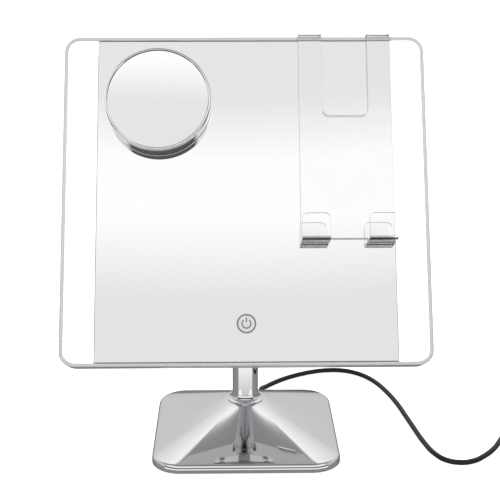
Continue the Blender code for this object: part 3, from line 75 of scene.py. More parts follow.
def set_camera():
    data = bpy.data.cameras.new("camera")
    data.sensor_width = 36.0
    data.lens = CAMERA_LENS
    data.clip_start = 0.05
    data.clip_end = 200.0
    camera = bpy.data.objects.new("camera", data)
    bpy.context.scene.collection.objects.link(camera)
    camera.location = CAMERA_PLACE
    camera.rotation_euler = (math.radians(90 - CAMERA_DOWN), 0.0, math.radians(-CAMERA_RIGHT))
    bpy.context.scene.camera = camera


set_camera()


# ---------------------------------------------------------------- modelling by hand

KINDS = {"VERT": "verts", "EDGE": "edges", "FACE": "faces"}


def object_mode():
    if bpy.context.object is not None and bpy.context.object.mode != "OBJECT":
        bpy.ops.object.mode_set(mode="OBJECT")


def start_new():
    """Object mode, with nothing selected."""
    object_mode()
    bpy.ops.object.select_all(action="DESELECT")


def hold(piece):
    """Makes the piece the only selected one, and the active one."""
    start_new()
    bpy.context.view_layer.objects.active = piece
    piece.select_set(True)
    return piece


def named(name):
    piece = bpy.context.object
    piece.name = name
    piece.data.name = name
    return piece


def settled(piece, move=None):
    """Puts the piece's place, turn and size into its mesh, after a last move if one is given."""
    hold(piece)
    bpy.context.view_layer.update()
    if move is not None:
        piece.matrix_world = move @ piece.matrix_world
    bpy.ops.object.transform_apply(location=True, rotation=True, scale=True)
    return piece


def pick(piece, kind, chosen):
    """Opens the piece in edit mode, with only the chosen corners, edges or faces selected."""
    if bpy.context.object is not piece or piece.mode != "EDIT":
        hold(piece)
        bpy.ops.object.mode_set(mode="EDIT")
    bpy.ops.mesh.select_mode(type=kind)
    bpy.ops.mesh.select_all(action="DESELECT")
    shape = bmesh.from_edit_mesh(piece.data)
    for item in getattr(shape, KINDS[kind]):
        if chosen(item):
            item.select_set(True)
    shape.select_flush_mode()
    bmesh.update_edit_mesh(piece.data)
    return piece


def middle(item):
    return sum((vert.co for vert in item.verts), Vector()) / len(item.verts)


def runs(edge, axis):
    """Whether an edge runs along an axis, 0, 1 or 2."""
    line = edge.verts[1].co - edge.verts[0].co
    return abs(line[axis]) > 0.999 * line.length


def at(level, value):
    return abs(level - value) < 0.00002


def block(name, lo, hi):
    """A box between two corners."""
    lo, hi = Vector(lo), Vector(hi)
    start_new()
    bpy.ops.mesh.primitive_cube_add(size=1.0, location=0.5 * (lo + hi), scale=hi - lo)
    return settled(named(name))


def rounded(piece, radius, steps, chosen):
    pick(piece, "EDGE", chosen)
    bpy.ops.mesh.bevel(offset=radius, segments=steps, affect="EDGES")
    object_mode()
    return piece


def slab(name, lo, hi, corner, axis=1, steps=14):
    """A box with its four edges along one axis rounded."""
    return rounded(block(name, lo, hi), corner, steps, lambda edge: runs(edge, axis))


def modified(piece, kind, **settings):
    hold(piece)
    modifier = piece.modifiers.new(kind.lower(), kind)
    for key, value in settings.items():
        setattr(modifier, key, value)
    bpy.ops.object.modifier_apply(modifier=modifier.name)
    return piece


def softened(piece, radius, steps=3, angle=40):
    """Every edge sharper than an angle gets a small round, as a tool or a mould leaves it."""
    return modified(piece, "BEVEL", width=radius, segments=steps, limit_method="ANGLE",
                    angle_limit=math.radians(angle), use_clamp_overlap=True)


def cut(piece, cutter, operation="DIFFERENCE"):
    modified(piece, "BOOLEAN", operation=operation, solver="EXACT", object=cutter)
    bpy.data.objects.remove(cutter)
    return piece


def sealed(piece):
    """Welds the slivers that a cut leaves, and closes the pinholes between them."""
    pick(piece, "VERT", lambda vert: True)
    bpy.ops.mesh.remove_doubles(threshold=0.00002)
    bpy.ops.mesh.dissolve_degenerate(threshold=0.00001)
    pick(piece, "EDGE", lambda edge: edge.is_boundary)
    bpy.ops.mesh.fill_holes(sides=0)
    bpy.ops.mesh.select_all(action="SELECT")
    bpy.ops.mesh.normals_make_consistent(inside=False)
    object_mode()
    return piece


def rod(name, centre, radius, length, axis=1, sides=32):
    """A round rod along an axis."""
    turn = {0: (0.0, QUARTER, 0.0), 1: (QUARTER, 0.0, 0.0), 2: (0.0, 0.0, 0.0)}[axis]
    start_new()
    bpy.ops.mesh.primitive_cylinder_add(vertices=sides, radius=radius, depth=length, location=centre,
                                        rotation=turn)
    return settled(named(name))


def joined(name, pieces):
    hold(pieces[0])
    for piece in pieces[1:]:
        piece.select_set(True)
    bpy.ops.object.join()
    return named(name)


def copied(piece, name, move=None):
    twin = bpy.data.objects.new(name, piece.data.copy())
    twin.data.name = name
    bpy.context.scene.collection.objects.link(twin)
    return settled(twin, move)


def lathe(name, profile, steps=96, ring=False, axis="Z", place=(0.0, 0.0, 0.0)):
    """Draws a profile of (radius, height) point by point, spins it, and lays it along an axis."""
    start_new()
    bpy.ops.mesh.primitive_plane_add(size=0.01)
    piece = named(name)
    bpy.ops.object.mode_set(mode="EDIT")
    bpy.ops.mesh.select_mode(type="VERT")
    bpy.ops.mesh.select_all(action="SELECT")
    bpy.ops.mesh.merge(type="CENTER")
    points = list(profile) + ([profile[0]] if ring else [])
    bpy.ops.transform.translate(value=(points[0][0], 0.0, points[0][1]))
    for (radius, height), (next_radius, next_height) in zip(points, points[1:]):
        step = (next_radius - radius, 0.0, next_height - height)
        bpy.ops.mesh.extrude_vertices_move(TRANSFORM_OT_translate={"value": step})
    bpy.ops.mesh.select_all(action="SELECT")
    bpy.ops.mesh.remove_doubles(threshold=WELD)
    bpy.ops.mesh.select_all(action="SELECT")
    bpy.ops.mesh.spin(steps=steps, angle=4 * QUARTER, center=(0, 0, 0), axis=(0, 0, 1))
    closed_up()
    turn = {"Z": Matrix.Identity(4), "X": Matrix.Rotation(QUARTER, 4, "Y"),
            "Y": Matrix.Rotation(-QUARTER, 4, "X"), "-Y": Matrix.Rotation(QUARTER, 4, "X")}[axis]
    return settled(piece, Matrix.Translation(place) @ turn)


def closed_up():
    """Welds points that share a place, turns every face outwards, and leaves edit mode."""
    bpy.ops.mesh.select_all(action="SELECT")
    bpy.ops.mesh.remove_doubles(threshold=WELD)
    bpy.ops.mesh.normals_make_consistent(inside=False)
    object_mode()


def arc(centre, radius, start, end, steps):
    """Points of an arc, with its angles in degrees."""
    return [(centre[0] + radius * math.cos(math.radians(start + (end - start) * i / steps)),
             centre[1] + radius * math.sin(math.radians(start + (end - start) * i / steps)))
            for i in range(steps + 1)]


def panel_box(node):
    """A CAD node's lowest and highest corners with the panel stood upright about the tilt axis."""
    points = [UPRIGHT @ vert.co for vert in frame["nodes"][node].data.vertices]
    return (Vector([min(point[i] for point in points) for i in range(3)]),
            Vector([max(point[i] for point in points) for i in range(3)]))


def hand_in(piece, body, slot, nodes, *materials, angle=35, move=None):
    """Lays the piece in place, shades it, gives it its body and its finish, and hides the nodes it stands
    for.
    """
    if move is not None:
        settled(piece, move)
    hold(piece)
    bpy.ops.object.shade_smooth_by_angle(angle=math.radians(angle))
    modified(piece, "WEIGHTED_NORMAL", keep_sharp=True)
    for number, material in enumerate(materials):
        if number < len(piece.data.materials):
            piece.data.materials[number] = material
        else:
            piece.data.materials.append(material)
    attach(piece, body)
    if nodes:
        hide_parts(*nodes)
    return piece


# ---------------------------------------------------------------- materials

def linear(code):
    """An sRGB hex colour as linear red, green, blue and alpha."""
    values = [int(code[i:i + 2], 16) / 255 for i in (0, 2, 4)]
    return [v / 12.92 if v <= 0.04045 else ((v + 0.055) / 1.055) ** 2.4 for v in values] + [1.0]


def add(tree, kind, inputs=None, **settings):
    """Adds a node with its settings; each input is a value or another node's socket."""
    made = tree.nodes.new(kind)
    for key, value in settings.items():
        setattr(made, key, value)
    for key, value in (inputs or {}).items():
        if isinstance(value, bpy.types.NodeSocket):
            tree.links.new(value, made.inputs[key])
        else:
            made.inputs[key].default_value = value
    return made


def grained(name, light, dark, roughness, grain, depth, spread=0.04, metallic=0.0, stretch=(1.0, 1.0, 1.0),
            detail=3.0, **sockets):
    """A finish whose tone, gloss and height vary over one grain.

    light and dark are the two ends of its tone; grain is the size of its features and depth their height,
    both in millimetres; spread is how much its roughness varies.
    """
    material = bpy.data.materials.new(name)
    material.use_nodes = True
    tree = material.node_tree
    tree.nodes.clear()
    place = add(tree, "ShaderNodeTexCoord").outputs["Object"]
    turned = add(tree, "ShaderNodeMapping", {"Vector": place, "Scale": stretch})
    noise = add(tree, "ShaderNodeTexNoise", {"Vector": turned.outputs["Vector"], "Scale": 1.0 / (grain * MM),
                                             "Detail": detail, "Roughness": 0.55})
    tone = add(tree, "ShaderNodeMix", {"Factor": noise.outputs["Fac"], "A": linear(dark),
                                       "B": linear(light)}, data_type="RGBA")
    gloss = add(tree, "ShaderNodeMapRange", {"Value": noise.outputs["Fac"], "From Min": 0.3, "From Max": 0.7,
                                             "To Min": max(0.0, roughness - spread),
                                             "To Max": roughness + spread})
    bump = add(tree, "ShaderNodeBump", {"Height": noise.outputs["Fac"], "Strength": 1.0,
                                        "Distance": depth * MM})
    shader = add(tree, "ShaderNodeBsdfPrincipled", {"Base Color": tone.outputs[2], "Metallic": metallic,
                                                    "Roughness": gloss.outputs["Result"],
                                                    "Normal": bump.outputs["Normal"], **sockets})
    add(tree, "ShaderNodeOutputMaterial", {"Surface": shader.outputs["BSDF"]})
    return material


# Decorative chromium over polished steel: a mirror with the slightest swell from the buffing wheel.
bright_chrome = grained("bright_chrome_plate", "F5F5F6", "F3F3F4", 0.03, 14.0, 0.004, 0.006, 1.0,
                        detail=1.0)
# Silver behind float glass: the clearest reflection here, with no texture that an eye can find.
silvered_glass = grained("silvered_float_glass", "F6F6F6", "F5F5F5", 0.006, 60.0, 0.0, 0.002, 1.0,
                         detail=0.0)
# The ground edge of float glass: green-grey, satin, with fine wheel marks.
glass_edge = grained("ground_glass_edge", "93A6A0", "6F827D", 0.22, 0.8, 0.01, 0.08)
# ABS under silver lacquer: pale, faintly metallic, with the tiny sparkle of flake.
silver_lacquer = grained("silver_lacquered_abs", "E9EAEB", "DADCDE", 0.26, 0.35, 0.002, 0.05, 0.5)
# The same on the rear cover, over a spark-eroded mould: a little duller and finely pitted.
silver_cover = grained("silver_textured_abs", "E4E6E8", "D2D5D8", 0.40, 0.6, 0.02, 0.07, 0.2)
# Zinc-plated, passivated steel: grey-blue, satin, slightly mottled by the bath.
zinc_steel = grained("zinc_plated_steel", "C8CCD0", "A4A8AE", 0.30, 1.6, 0.003, 0.08, 1.0)
# Stainless plate brushed along its length: fine lines that stretch its highlights.
brushed_steel = grained("brushed_stainless_plate", "C9CACB", "A9ABAD", 0.30, 0.5, 0.006, 0.08, 1.0,
                        (0.06, 1.0, 1.0))
# Natural nylon: off-white, waxy, faintly see-through.
nylon = grained("natural_nylon", "EFECE2", "E0DCD0", 0.42, 2.5, 0.006, 0.06)
# Black ABS from a spark-eroded mould: matt pits with a low sheen on their tops.
black_abs = grained("black_textured_abs", "1D1D1E", "121213", 0.42, 0.5, 0.03, 0.08)
# Extruded PVC sheath: brown-black, smooth, a long soft highlight with slight drawing marks.
pvc_sheath = grained("extruded_pvc_sheath", "191512", "100D0B", 0.36, 1.8, 0.012, 0.06)
# Soft PVC of the boots: the same black, duller.
soft_pvc = grained("soft_moulded_pvc", "2C2826", "1F1C1A", 0.50, 0.9, 0.015, 0.06)
# Closed-cell foam rubber under the base: dull black skin with small cells.
foam_rubber = grained("closed_cell_foam_rubber", "222222", "0E0E0E", 0.85, 0.7, 0.12, 0.08)
# Sand-cast iron weight, hidden: coarse, dark and rough.
cast_iron = grained("sand_cast_iron", "4C4B49", "2E2D2C", 0.62, 1.2, 0.10, 0.10, 0.8)
# White ABS light trays, hidden: bright and matt, so that they spread the light.
white_abs = grained("white_moulded_abs", "F0F0EE", "E6E6E3", 0.50, 0.8, 0.010, 0.05)
# Glass-epoxy board under white solder resist, with a trace of the weave.
board_finish = grained("white_resist_circuit_board", "E9ECEA", "CBD3CF", 0.48, 1.1, 0.010, 0.08)
# PVC-covered inner lead: mid grey, soft sheen.
grey_pvc = grained("grey_pvc_lead", "9C9C9C", "868686", 0.45, 1.5, 0.010, 0.05)
# Grey ink of the touch symbol, fired on the glass: flat and slightly uneven.
symbol_ink = grained("fired_grey_ink", "8C8C8D", "828283", 0.55, 0.4, 0.002, 0.05)
# The etched window inside the ring: frosted, and its pale tone is partly the frosting and partly painted
# light, standing for the light let through from behind.
etched_window_painted_light = grained("etched_glass_window", "FAFAFA", "F2F3F3", 0.55, 0.3, 0.001, 0.05)
# Soft clear PVC suction cups: milky, bent light, oily gloss.
clear_vinyl = grained("clear_soft_pvc", "F2F5F6", "E8EDEF", 0.12, 3.0, 0.01, 0.04,
                      **{"Transmission Weight": 0.85, "IOR": 1.53})
# Cast acrylic sheet, flame-polished: clear; the grey lines on its cut edges are painted shade, in the edge
# finish below.
clear_acrylic = grained("polished_clear_acrylic", "FFFFFF", "FEFEFE", 0.012, 25.0, 0.002, 0.006,
                        detail=1.0, **{"Transmission Weight": 1.0, "IOR": 1.49})
# The same sheet's cut edges, flame-polished and painted grey: the grey is painted shade, standing for the
# dark lines that light running along the sheet leaves there.
acrylic_edge_painted_shade = grained("flame_polished_acrylic_edge", "A4A9AB", "858A8C", 0.10, 2.0, 0.004, 0.04,
                       **{"Transmission Weight": 0.3, "IOR": 1.49})
# Frosted acrylic in front of the LEDs: it glows white from edge to edge.
lit_acrylic = grained("lit_frosted_acrylic", "FFFFFF", "F8F9FA", 0.45, 0.8, 0.003, 0.05,
                      **{"Emission Color": linear("FFFFFF"), "Emission Strength": 1.0})


# ---------------------------------------------------------------- floor and light

# Light cards round the object: how bright each side of the studio is, by degrees above the horizon. In front
# there is a dark gap in the cards where the camera stands, from 1 to 22 degrees.
FRONT_CARDS = [(-90, 0.25), (-25, 0.25), (-22, 1.05), (-3, 1.05), (1, 0.10), (22, 0.10), (26, 0.84),
               (34, 0.84), (38, 1.08), (41, 1.08), (44, 0.86), (55, 0.84), (63, 0.22), (90, 0.15)]
SIDE_CARDS = [(-90, 0.26), (-2, 0.26), (16, 0.60), (45, 0.50), (63, 0.06), (90, 0.03)]
BACK_CARDS = [(-90, 0.14), (-3, 0.24), (0, 0.55), (16, 0.62), (46, 0.83), (62, 0.97), (64.5, 0.93),
              (66.5, 0.50), (69, 0.28), (74, 0.22), (90, 0.12)]
CARD_PEAK = 1.25              # the ramps hold shares of this
SUN_STRENGTH = 0.9
SUN_SPREAD = 100              # degrees
TABLE_GLOW = 0.85
TABLE_WIDTH = 80.0


def light_studio():
    """Cards of light for what shines, a soft sun for what doesn't, and a light table under it all."""
    world = bpy.data.worlds.new("studio")
    bpy.context.scene.world = world
    world.use_nodes = True
    tree = world.node_tree
    tree.nodes.clear()
    heading = add(tree, "ShaderNodeTexCoord").outputs["Generated"]
    height = add(tree, "ShaderNodeSeparateXYZ", {"Vector": heading}).outputs["Z"]
    share = add(tree, "ShaderNodeMapRange", {"Value": height, "From Min": -1.0, "From Max": 1.0})
    flat = add(tree, "ShaderNodeVectorMath", {0: heading, 1: (1.0, 1.0, 0.0)}, operation="MULTIPLY")
    flat = add(tree, "ShaderNodeVectorMath", {0: flat.outputs[0]}, operation="NORMALIZE")
    round_it = add(tree, "ShaderNodeSeparateXYZ", {"Vector": flat.outputs[0]}).outputs["Y"]
    cards = []
    for stops in (FRONT_CARDS, SIDE_CARDS, BACK_CARDS):
        ramp = add(tree, "ShaderNodeValToRGB", {"Fac": share.outputs[0]})
        elements = ramp.color_ramp.elements
        while len(elements) < len(stops):
            elements.new(1.0)
        for element, (angle, value) in zip(elements, stops):
            element.position = 0.5 + 0.5 * math.sin(math.radians(angle))
            element.color = (value / CARD_PEAK, value / CARD_PEAK, value / CARD_PEAK, 1.0)
        cards.append(ramp.outputs["Color"])
    front_edge = add(tree, "ShaderNodeMapRange", {"Value": round_it, "From Min": -0.45, "From Max": -0.39})
    back_edge = add(tree, "ShaderNodeMapRange", {"Value": round_it, "From Min": 0.45, "From Max": 0.60})
    sides = add(tree, "ShaderNodeMix", {"Factor": front_edge.outputs[0], "A": cards[0], "B": cards[1]},
                data_type="RGBA")
    whole = add(tree, "ShaderNodeMix", {"Factor": back_edge.outputs[0], "A": sides.outputs[2],
                                        "B": cards[2]}, data_type="RGBA")
    sky = add(tree, "ShaderNodeBackground", {"Color": whole.outputs[2], "Strength": CARD_PEAK})
    add(tree, "ShaderNodeOutputWorld", {"Surface": sky.outputs["Background"]})

    sun = bpy.data.lights.new("soft_overhead", "SUN")
    sun.energy = SUN_STRENGTH
    sun.angle = math.radians(SUN_SPREAD)
    lamp = bpy.data.objects.new("soft_overhead", sun)
    bpy.context.scene.collection.objects.link(lamp)
    lamp.rotation_euler = (math.radians(35), 0.0, math.radians(-10))
    lamp.visible_glossy = False
    lamp.visible_transmission = False

    start_new()
    bpy.ops.mesh.primitive_plane_add(size=TABLE_WIDTH)
    floor = named("light_table")
    # An opal acrylic table lit from below, as product studios use: shadows on it all but vanish.
    table = grained("opal_acrylic_table", "FAFAFA", "F7F7F7", 0.90, 80.0, 0.0, 0.02,
                    **{"Emission Color": linear("FFFFFF"), "Emission Strength": TABLE_GLOW,
                       "Specular IOR Level": 0.0})
    floor.data.materials.append(table)
    floor.visible_glossy = False
    floor.visible_diffuse = False
    bpy.context.scene.view_settings.view_transform = "Standard"


light_studio()


# ---------------------------------------------------------------- cord and adaptor

CORD_RADIUS = 0.0023
COIL_RADIUS = 0.027           # middle of the turns
COIL_PITCH = 0.0047           # between the middles of turns that touch
COIL_ENTRY = 165              # degrees round the coil
COIL_EXIT = 135
COIL_ANGLE = 1830             # the whole winding, in degrees
CHANGE = 50                   # degrees that the cord takes to change its place in the coil
CHANGE_EVERY = 310
FIRST_CHANGE = 300
# The route's points on the table, in metres, as the CAD source has them.
CORD_ROUTE = [
    (0.0171, 0.0912, 0.0047), (0.0188, 0.0965, 0.0035), (0.0218, 0.1012, 0.0026),
    (0.0264, 0.1070, 0.0024), (0.0345, 0.1155, 0.0024), (0.0430, 0.1230, 0.0024),
    (0.0515, 0.1290, 0.0024), (0.0600, 0.1340, 0.0024), (0.0690, 0.1385, 0.0024),
    (0.0850, 0.1430, 0.0024), (0.1010, 0.1425, 0.0024), (0.1150, 0.1355, 0.0024),
    (0.1255, 0.1240, 0.0024), (0.1330, 0.1100, 0.0024), (0.1400, 0.0895, 0.0024),
    (0.1465, 0.0620, 0.0024), (0.1515, 0.0290, 0.0024), (0.1555, 0.0000, 0.0024),
    (0.1597, -0.0270, 0.0024), (0.1655, -0.0490, 0.0024), (0.1740, -0.0620, 0.0024),
    (0.1855, -0.0662, 0.0024), (0.1965, -0.0635, 0.0024), (0.2085, -0.0535, 0.0024),
    (0.2195, -0.0400, 0.0024), (0.2290, -0.0230, 0.0024), (0.2380, -0.0050, 0.0024),
    (0.2460, 0.0150, 0.0024),
]


def coil_place(angle):
    """Radius and height of the winding after so many degrees: six turns, two wide and three high."""
    slots = [(0.5, 0), (-0.5, 0), (-0.5, 1), (-0.5, 2), (0.5, 2), (0.5, 1)]
    out, up = slots[0]
    for number, (before, after) in enumerate(zip(slots, slots[1:])):
        share = (angle - FIRST_CHANGE - CHANGE_EVERY * number) / CHANGE
        share = min(1.0, max(0.0, share))
        share = share * share * (3 - 2 * share)
        out += (after[0] - before[0]) * share
        up += (after[1] - before[1]) * share
    return COIL_RADIUS + out * COIL_PITCH, CORD_RADIUS + 0.0001 + up * COIL_PITCH


def cord_line(start, coil, boot):
    """The cord's middle, from where it leaves the base to the adaptor's boot."""
    outside = COIL_RADIUS + 0.5 * COIL_PITCH
    reach = outside + 2 * CORD_RADIUS + 2 * GAP
    spread = math.degrees(math.acos(outside / reach))

    def beside(angle, radius, height):
        turn = math.radians(angle)
        return (coil.x + radius * math.cos(turn), coil.y + radius * math.sin(turn), height)

    line = [start] + CORD_ROUTE + [beside(COIL_ENTRY + spread, reach, CORD_RADIUS + 0.0001)]
    for angle in range(0, COIL_ANGLE + 1, 15):
        radius, height = coil_place(angle)
        line.append(beside(COIL_ENTRY - angle, radius, height))
    rise = boot.z - COIL_PITCH - CORD_RADIUS
    line += [beside(COIL_EXIT - spread, reach, COIL_PITCH + CORD_RADIUS),
             (boot.x - 0.0075, boot.y - 0.0205, boot.z - 0.78 * rise),
             (boot.x - 0.0030, boot.y - 0.0140, boot.z - 0.46 * rise),
             (boot.x - 0.0007, boot.y - 0.0075, boot.z - 0.12 * rise),
             (boot.x, boot.y - 0.003, boot.z), tuple(boot)]
    return line


def make_cord():
    relief_lo, relief_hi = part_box("strain_relief")
    exit_point = Vector((0.5 * (relief_lo.x + relief_hi.x), relief_hi.y + GAP,
                         0.5 * (relief_lo.z + relief_hi.z)))
    coil_lo, coil_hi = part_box("cord_coil")
    body_lo, body_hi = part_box("adaptor_body")
    middle_x = 0.5 * (body_lo.x + body_hi.x)
    middle_z = 0.5 * (body_lo.z + body_hi.z)
    boot = Vector((middle_x, body_lo.y - GAP, middle_z))
    line = cord_line(tuple(exit_point), 0.5 * (coil_lo + coil_hi), boot)
    curve = bpy.data.curves.new("adaptor_cord", "CURVE")
    curve.dimensions = "3D"
    curve.bevel_depth = CORD_RADIUS
    curve.bevel_resolution = 6
    curve.resolution_u = 6
    curve.use_fill_caps = True
    spline = curve.splines.new("BEZIER")
    spline.bezier_points.add(len(line) - 1)
    for point, place in zip(spline.bezier_points, line):
        point.co = place
        point.handle_left_type = "AUTO"
        point.handle_right_type = "AUTO"
    cord = bpy.data.objects.new("adaptor_cord", curve)
    bpy.context.scene.collection.objects.link(cord)
    curve.materials.append(pvc_sheath)
    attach(cord, "base")
    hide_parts("power_cord", "cord_coil", "power_cord_end")

    # The strain relief: a soft sleeve that tapers outside the base, with grooves that let it bend.
    inside = 0.5 * (relief_hi.x - relief_lo.x) - 0.0005
    low, high = relief_lo.y, relief_hi.y
    profile = [(CORD_RADIUS - 0.0009, low), (0.9 * inside, low), (0.9 * inside, low + 0.0024),
               (inside + 0.0005, low + 0.0024), (inside + 0.0005, low + 0.0046), (inside, low + 0.0046),
               (inside, high - 0.0056)]
    for number in range(3):
        groove = high - 0.0048 + 0.0014 * number
        rim = inside - 0.0003 - 0.00005 * number
        profile += [(rim, groove - 0.0006), (rim - 0.00035, groove - 0.0005), (rim - 0.00035, groove),
                    (rim, groove + 0.0001)]
    profile += [(CORD_RADIUS + 0.0003, high - 0.0002), (CORD_RADIUS + 0.0001, high),
                (CORD_RADIUS - 0.0009, high)]
    relief = lathe("tapered_strain_relief", profile, 48, ring=True, axis="Y",
                   place=(exit_point.x, 0.0, exit_point.z))
    hand_in(relief, "base", "black_rubber", ["strain_relief"], soft_pvc)

    # The adaptor: a case of two halves with a fine parting groove, and a ribbed boot.
    face = body_lo.y + 0.010
    case = slab("adaptor_case", (body_lo.x, face, body_lo.z), (body_hi.x, body_hi.y, body_hi.z), 0.004, 1, 8)
    rounded(case, 0.0012, 4, lambda edge: not runs(edge, 1))
    seam_y = face + 0.62 * (body_hi.y - face)
    groove = slab("seam_cutter", (body_lo.x - 0.002, seam_y, body_lo.z - 0.002),
                  (body_hi.x + 0.002, seam_y + 0.0005, body_hi.z + 0.002), 0.006, 1, 8)
    core = slab("seam_core", (body_lo.x + 0.0004, seam_y - 0.001, body_lo.z + 0.0004),
                (body_hi.x - 0.0004, seam_y + 0.002, body_hi.z - 0.0004), 0.0036, 1, 8)
    cut(groove, core)
    cut(case, groove)
    collar = CORD_RADIUS + 0.0022
    profile = [(0.0, face + 0.002), (collar, face + 0.002), (collar, face - 0.0008)]
    for number in range(4):
        groove_y = face - 0.0014 - 0.0020 * number
        rim = CORD_RADIUS + 0.0020 - 0.0004 * number
        profile += [(rim, groove_y), (rim - 0.0006, groove_y - 0.0002), (rim - 0.0007, groove_y - 0.0008),
                    (rim - 0.0002, groove_y - 0.0010)]
    profile += [(CORD_RADIUS + 0.0004, body_lo.y + 0.0002), (CORD_RADIUS + 0.0002, body_lo.y),
                (0.0, body_lo.y)]
    bend_boot = lathe("adaptor_boot", profile, 48, axis="Y", place=(middle_x, 0.0, middle_z))
    sealed(cut(case, bend_boot, "UNION"))
    hand_in(case, "base", "black_abs", ["adaptor_body"], black_abs)
    for hand in ("left", "right"):
        lo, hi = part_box(f"adaptor_prong_{hand}")
        prong = rounded(block(f"nickel_prong_{hand}", lo, hi), 0.0011, 3,
                        lambda edge, end=hi.y: runs(edge, 0) and at(middle(edge).y, end))
        hole = rod("prong_hole", (0.5 * (lo.x + hi.x), hi.y - 0.0042, 0.5 * (lo.z + hi.z)), 0.0016, 0.01, 0)
        cut(prong, hole)
        softened(prong, 0.00025, 2)
        hand_in(prong, "base", "zinc_steel", [f"adaptor_prong_{hand}"], zinc_steel)


make_cord()


# ---------------------------------------------------------------- base

SHELL_WALL = 0.0018
BASE_CORNER = 0.026
APEX_RADIUS = 0.0175
RIM_WALL = 0.0047
RIM_ROUND = 0.0046
STUD_HOLE = 0.0095
CORNER_STEPS = 20
SIDE_STEPS = 16
SLOPE_STEPS = 24
ROUND_STEPS = 8


def base_outline(share, inset, half):
    """The base from above: a circle at share 0 that grows into the rounded square at share 1."""
    corner = BASE_CORNER - inset
    centre = half - BASE_CORNER
    points = []
    for quarter in range(4):
        turn = Matrix.Rotation(QUARTER * quarter, 2)
        piece = arc((centre, centre), corner, 0, 90, CORNER_STEPS)
        start, end = Vector(piece[-1]), Vector((-centre, centre + corner))
        piece += [tuple(start.lerp(end, i / SIDE_STEPS)) for i in range(1, SIDE_STEPS)]
        points += [turn @ Vector(point) for point in piece]
    outline = []
    for point in points:
        circle = point.normalized() * APEX_RADIUS
        outline.append(circle.lerp(point, share))
    return outline


def make_base():
    lo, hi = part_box("base_shell")
    half, apex = hi.x, hi.z
    run = half - APEX_RADIUS
    angle = math.radians(25)
    for _ in range(6):
        inset = RIM_ROUND * (1 - math.sin(angle))
        foot = RIM_WALL + RIM_ROUND * math.cos(angle)
        angle = math.atan((apex - foot) / (run - inset))
    hole = [point.normalized() * STUD_HOLE for point in base_outline(0.0, 0.0, half)]
    rings = [[(p.x, p.y, apex) for p in hole]]
    for step in range(SLOPE_STEPS + 1):
        q = step / SLOPE_STEPS
        height = apex + (foot - apex) * q
        rings.append([(p.x, p.y, height) for p in base_outline(q, inset, half)])
    for step in range(ROUND_STEPS - 1, -1, -1):
        turn = (QUARTER - angle) * step / ROUND_STEPS
        edge = RIM_ROUND * (1 - math.cos(turn))
        height = RIM_WALL + RIM_ROUND * math.sin(turn)
        rings.append([(p.x, p.y, height) for p in base_outline(1.0, edge, half)])
    rings.append([(p.x, p.y, lo.z) for p in base_outline(1.0, 0.0, half)])

    # The pressed shell: a sheet of squares wrapped round the outlines, welded, then given its wall.
    spokes = len(rings[0])
    start_new()
    bpy.ops.mesh.primitive_grid_add(x_subdivisions=spokes, y_subdivisions=len(rings) - 1, size=1.0)
    shell = named("pressed_base_shell")
    for vert in shell.data.vertices:
        vert.co = rings[vert.index // (spokes + 1)][vert.index % (spokes + 1) % spokes]
    bpy.ops.object.mode_set(mode="EDIT")
    closed_up()
    if max(shell.data.polygons, key=lambda face: face.center.z).normal.z < 0:
        shell.data.flip_normals()
    modified(shell, "SOLIDIFY", thickness=SHELL_WALL, offset=-1.0, use_even_offset=True)
    relief_lo, relief_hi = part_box("strain_relief")
    middle_x = 0.5 * (relief_lo.x + relief_hi.x)
    middle_z = 0.5 * (relief_lo.z + relief_hi.z)
    cut(shell, rod("relief_hole", (middle_x, hi.y, middle_z), 0.0031, 0.016, 1, 40))
    hand_in(shell, "base", "chrome_plate", ["base_shell"], bright_chrome, angle=30)

    # Floor plate of the base, with sunk screws, and the foam pad that covers it.
    lo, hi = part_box("base_plate")
    plate = slab("base_floor_plate", lo, hi, BASE_CORNER - 0.0024, 2, 16)
    corners = [(x, y) for x in (-0.046, 0.046) for y in (-0.046, 0.046)]
    cut(plate, joined("screw_holes", [rod("hole", (x, y, hi.z), 0.0018, 0.01, 2) for x, y in corners]))
    cut(plate, joined("screw_seats", [rod("seat", (x, y, lo.z), 0.0035, 0.0038, 2) for x, y in corners]))
    notch_lo, notch_hi = (middle_x - 0.0056, 0.0651, -0.01), (middle_x + 0.0056, 0.1, 0.01)
    cut(plate, slab("relief_notch", notch_lo, notch_hi, 0.002, 2, 6))
    hand_in(plate, "base", "black_abs", ["base_plate"], black_abs)
    lo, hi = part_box("base_pad")
    pad = slab("foam_foot_pad", lo, hi, BASE_CORNER - 0.004, 2, 16)
    softened(pad, 0.0003, 2)
    hand_in(pad, "base", "rubber_foam", ["base_pad"], foam_rubber)


make_base()


# ---------------------------------------------------------------- stem, collar and tilt fork

def make_stem():
    lo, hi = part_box("stem_tube")
    radius, wall = hi.x, 0.0016
    ease = 0.0003
    profile = [(radius - wall, lo.z), (radius, lo.z), (radius, hi.z - ease), (radius - ease, hi.z),
               (radius - wall, hi.z)]
    tube = lathe("plated_stem_tube", profile, 96, ring=True)
    hand_in(tube, "base", "chrome_plate", ["stem_tube"], bright_chrome)

    lo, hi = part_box("stem_collar")
    inner, edge = radius + GAP, 0.0006
    flare = []
    for step in range(11):
        turn = QUARTER * step / 10
        flare.append((hi.x - (hi.x - inner - GAP) * math.cos(turn),
                      lo.z + edge + (hi.z - lo.z - edge) * (1 - math.sin(turn))))
    collar = lathe("flared_stem_collar", flare + [(hi.x, lo.z), (inner, lo.z), (inner, hi.z)], 96, ring=True)
    hand_in(collar, "base", "chrome_plate", ["stem_collar"], bright_chrome)

    lo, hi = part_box("swivel_bush")
    sleeve, inside = 0.0096, 0.0083
    flange = hi.z - 0.0012
    profile = [(inside, hi.z), (hi.x - 0.0001, hi.z), (hi.x, hi.z - 0.0001), (hi.x, flange),
               (sleeve, flange),
               (sleeve, lo.z), (inside, lo.z)]
    bush = lathe("nylon_swivel_bush", profile, 96, ring=True)
    hand_in(bush, "base", "white_nylon", ["swivel_bush"], nylon)


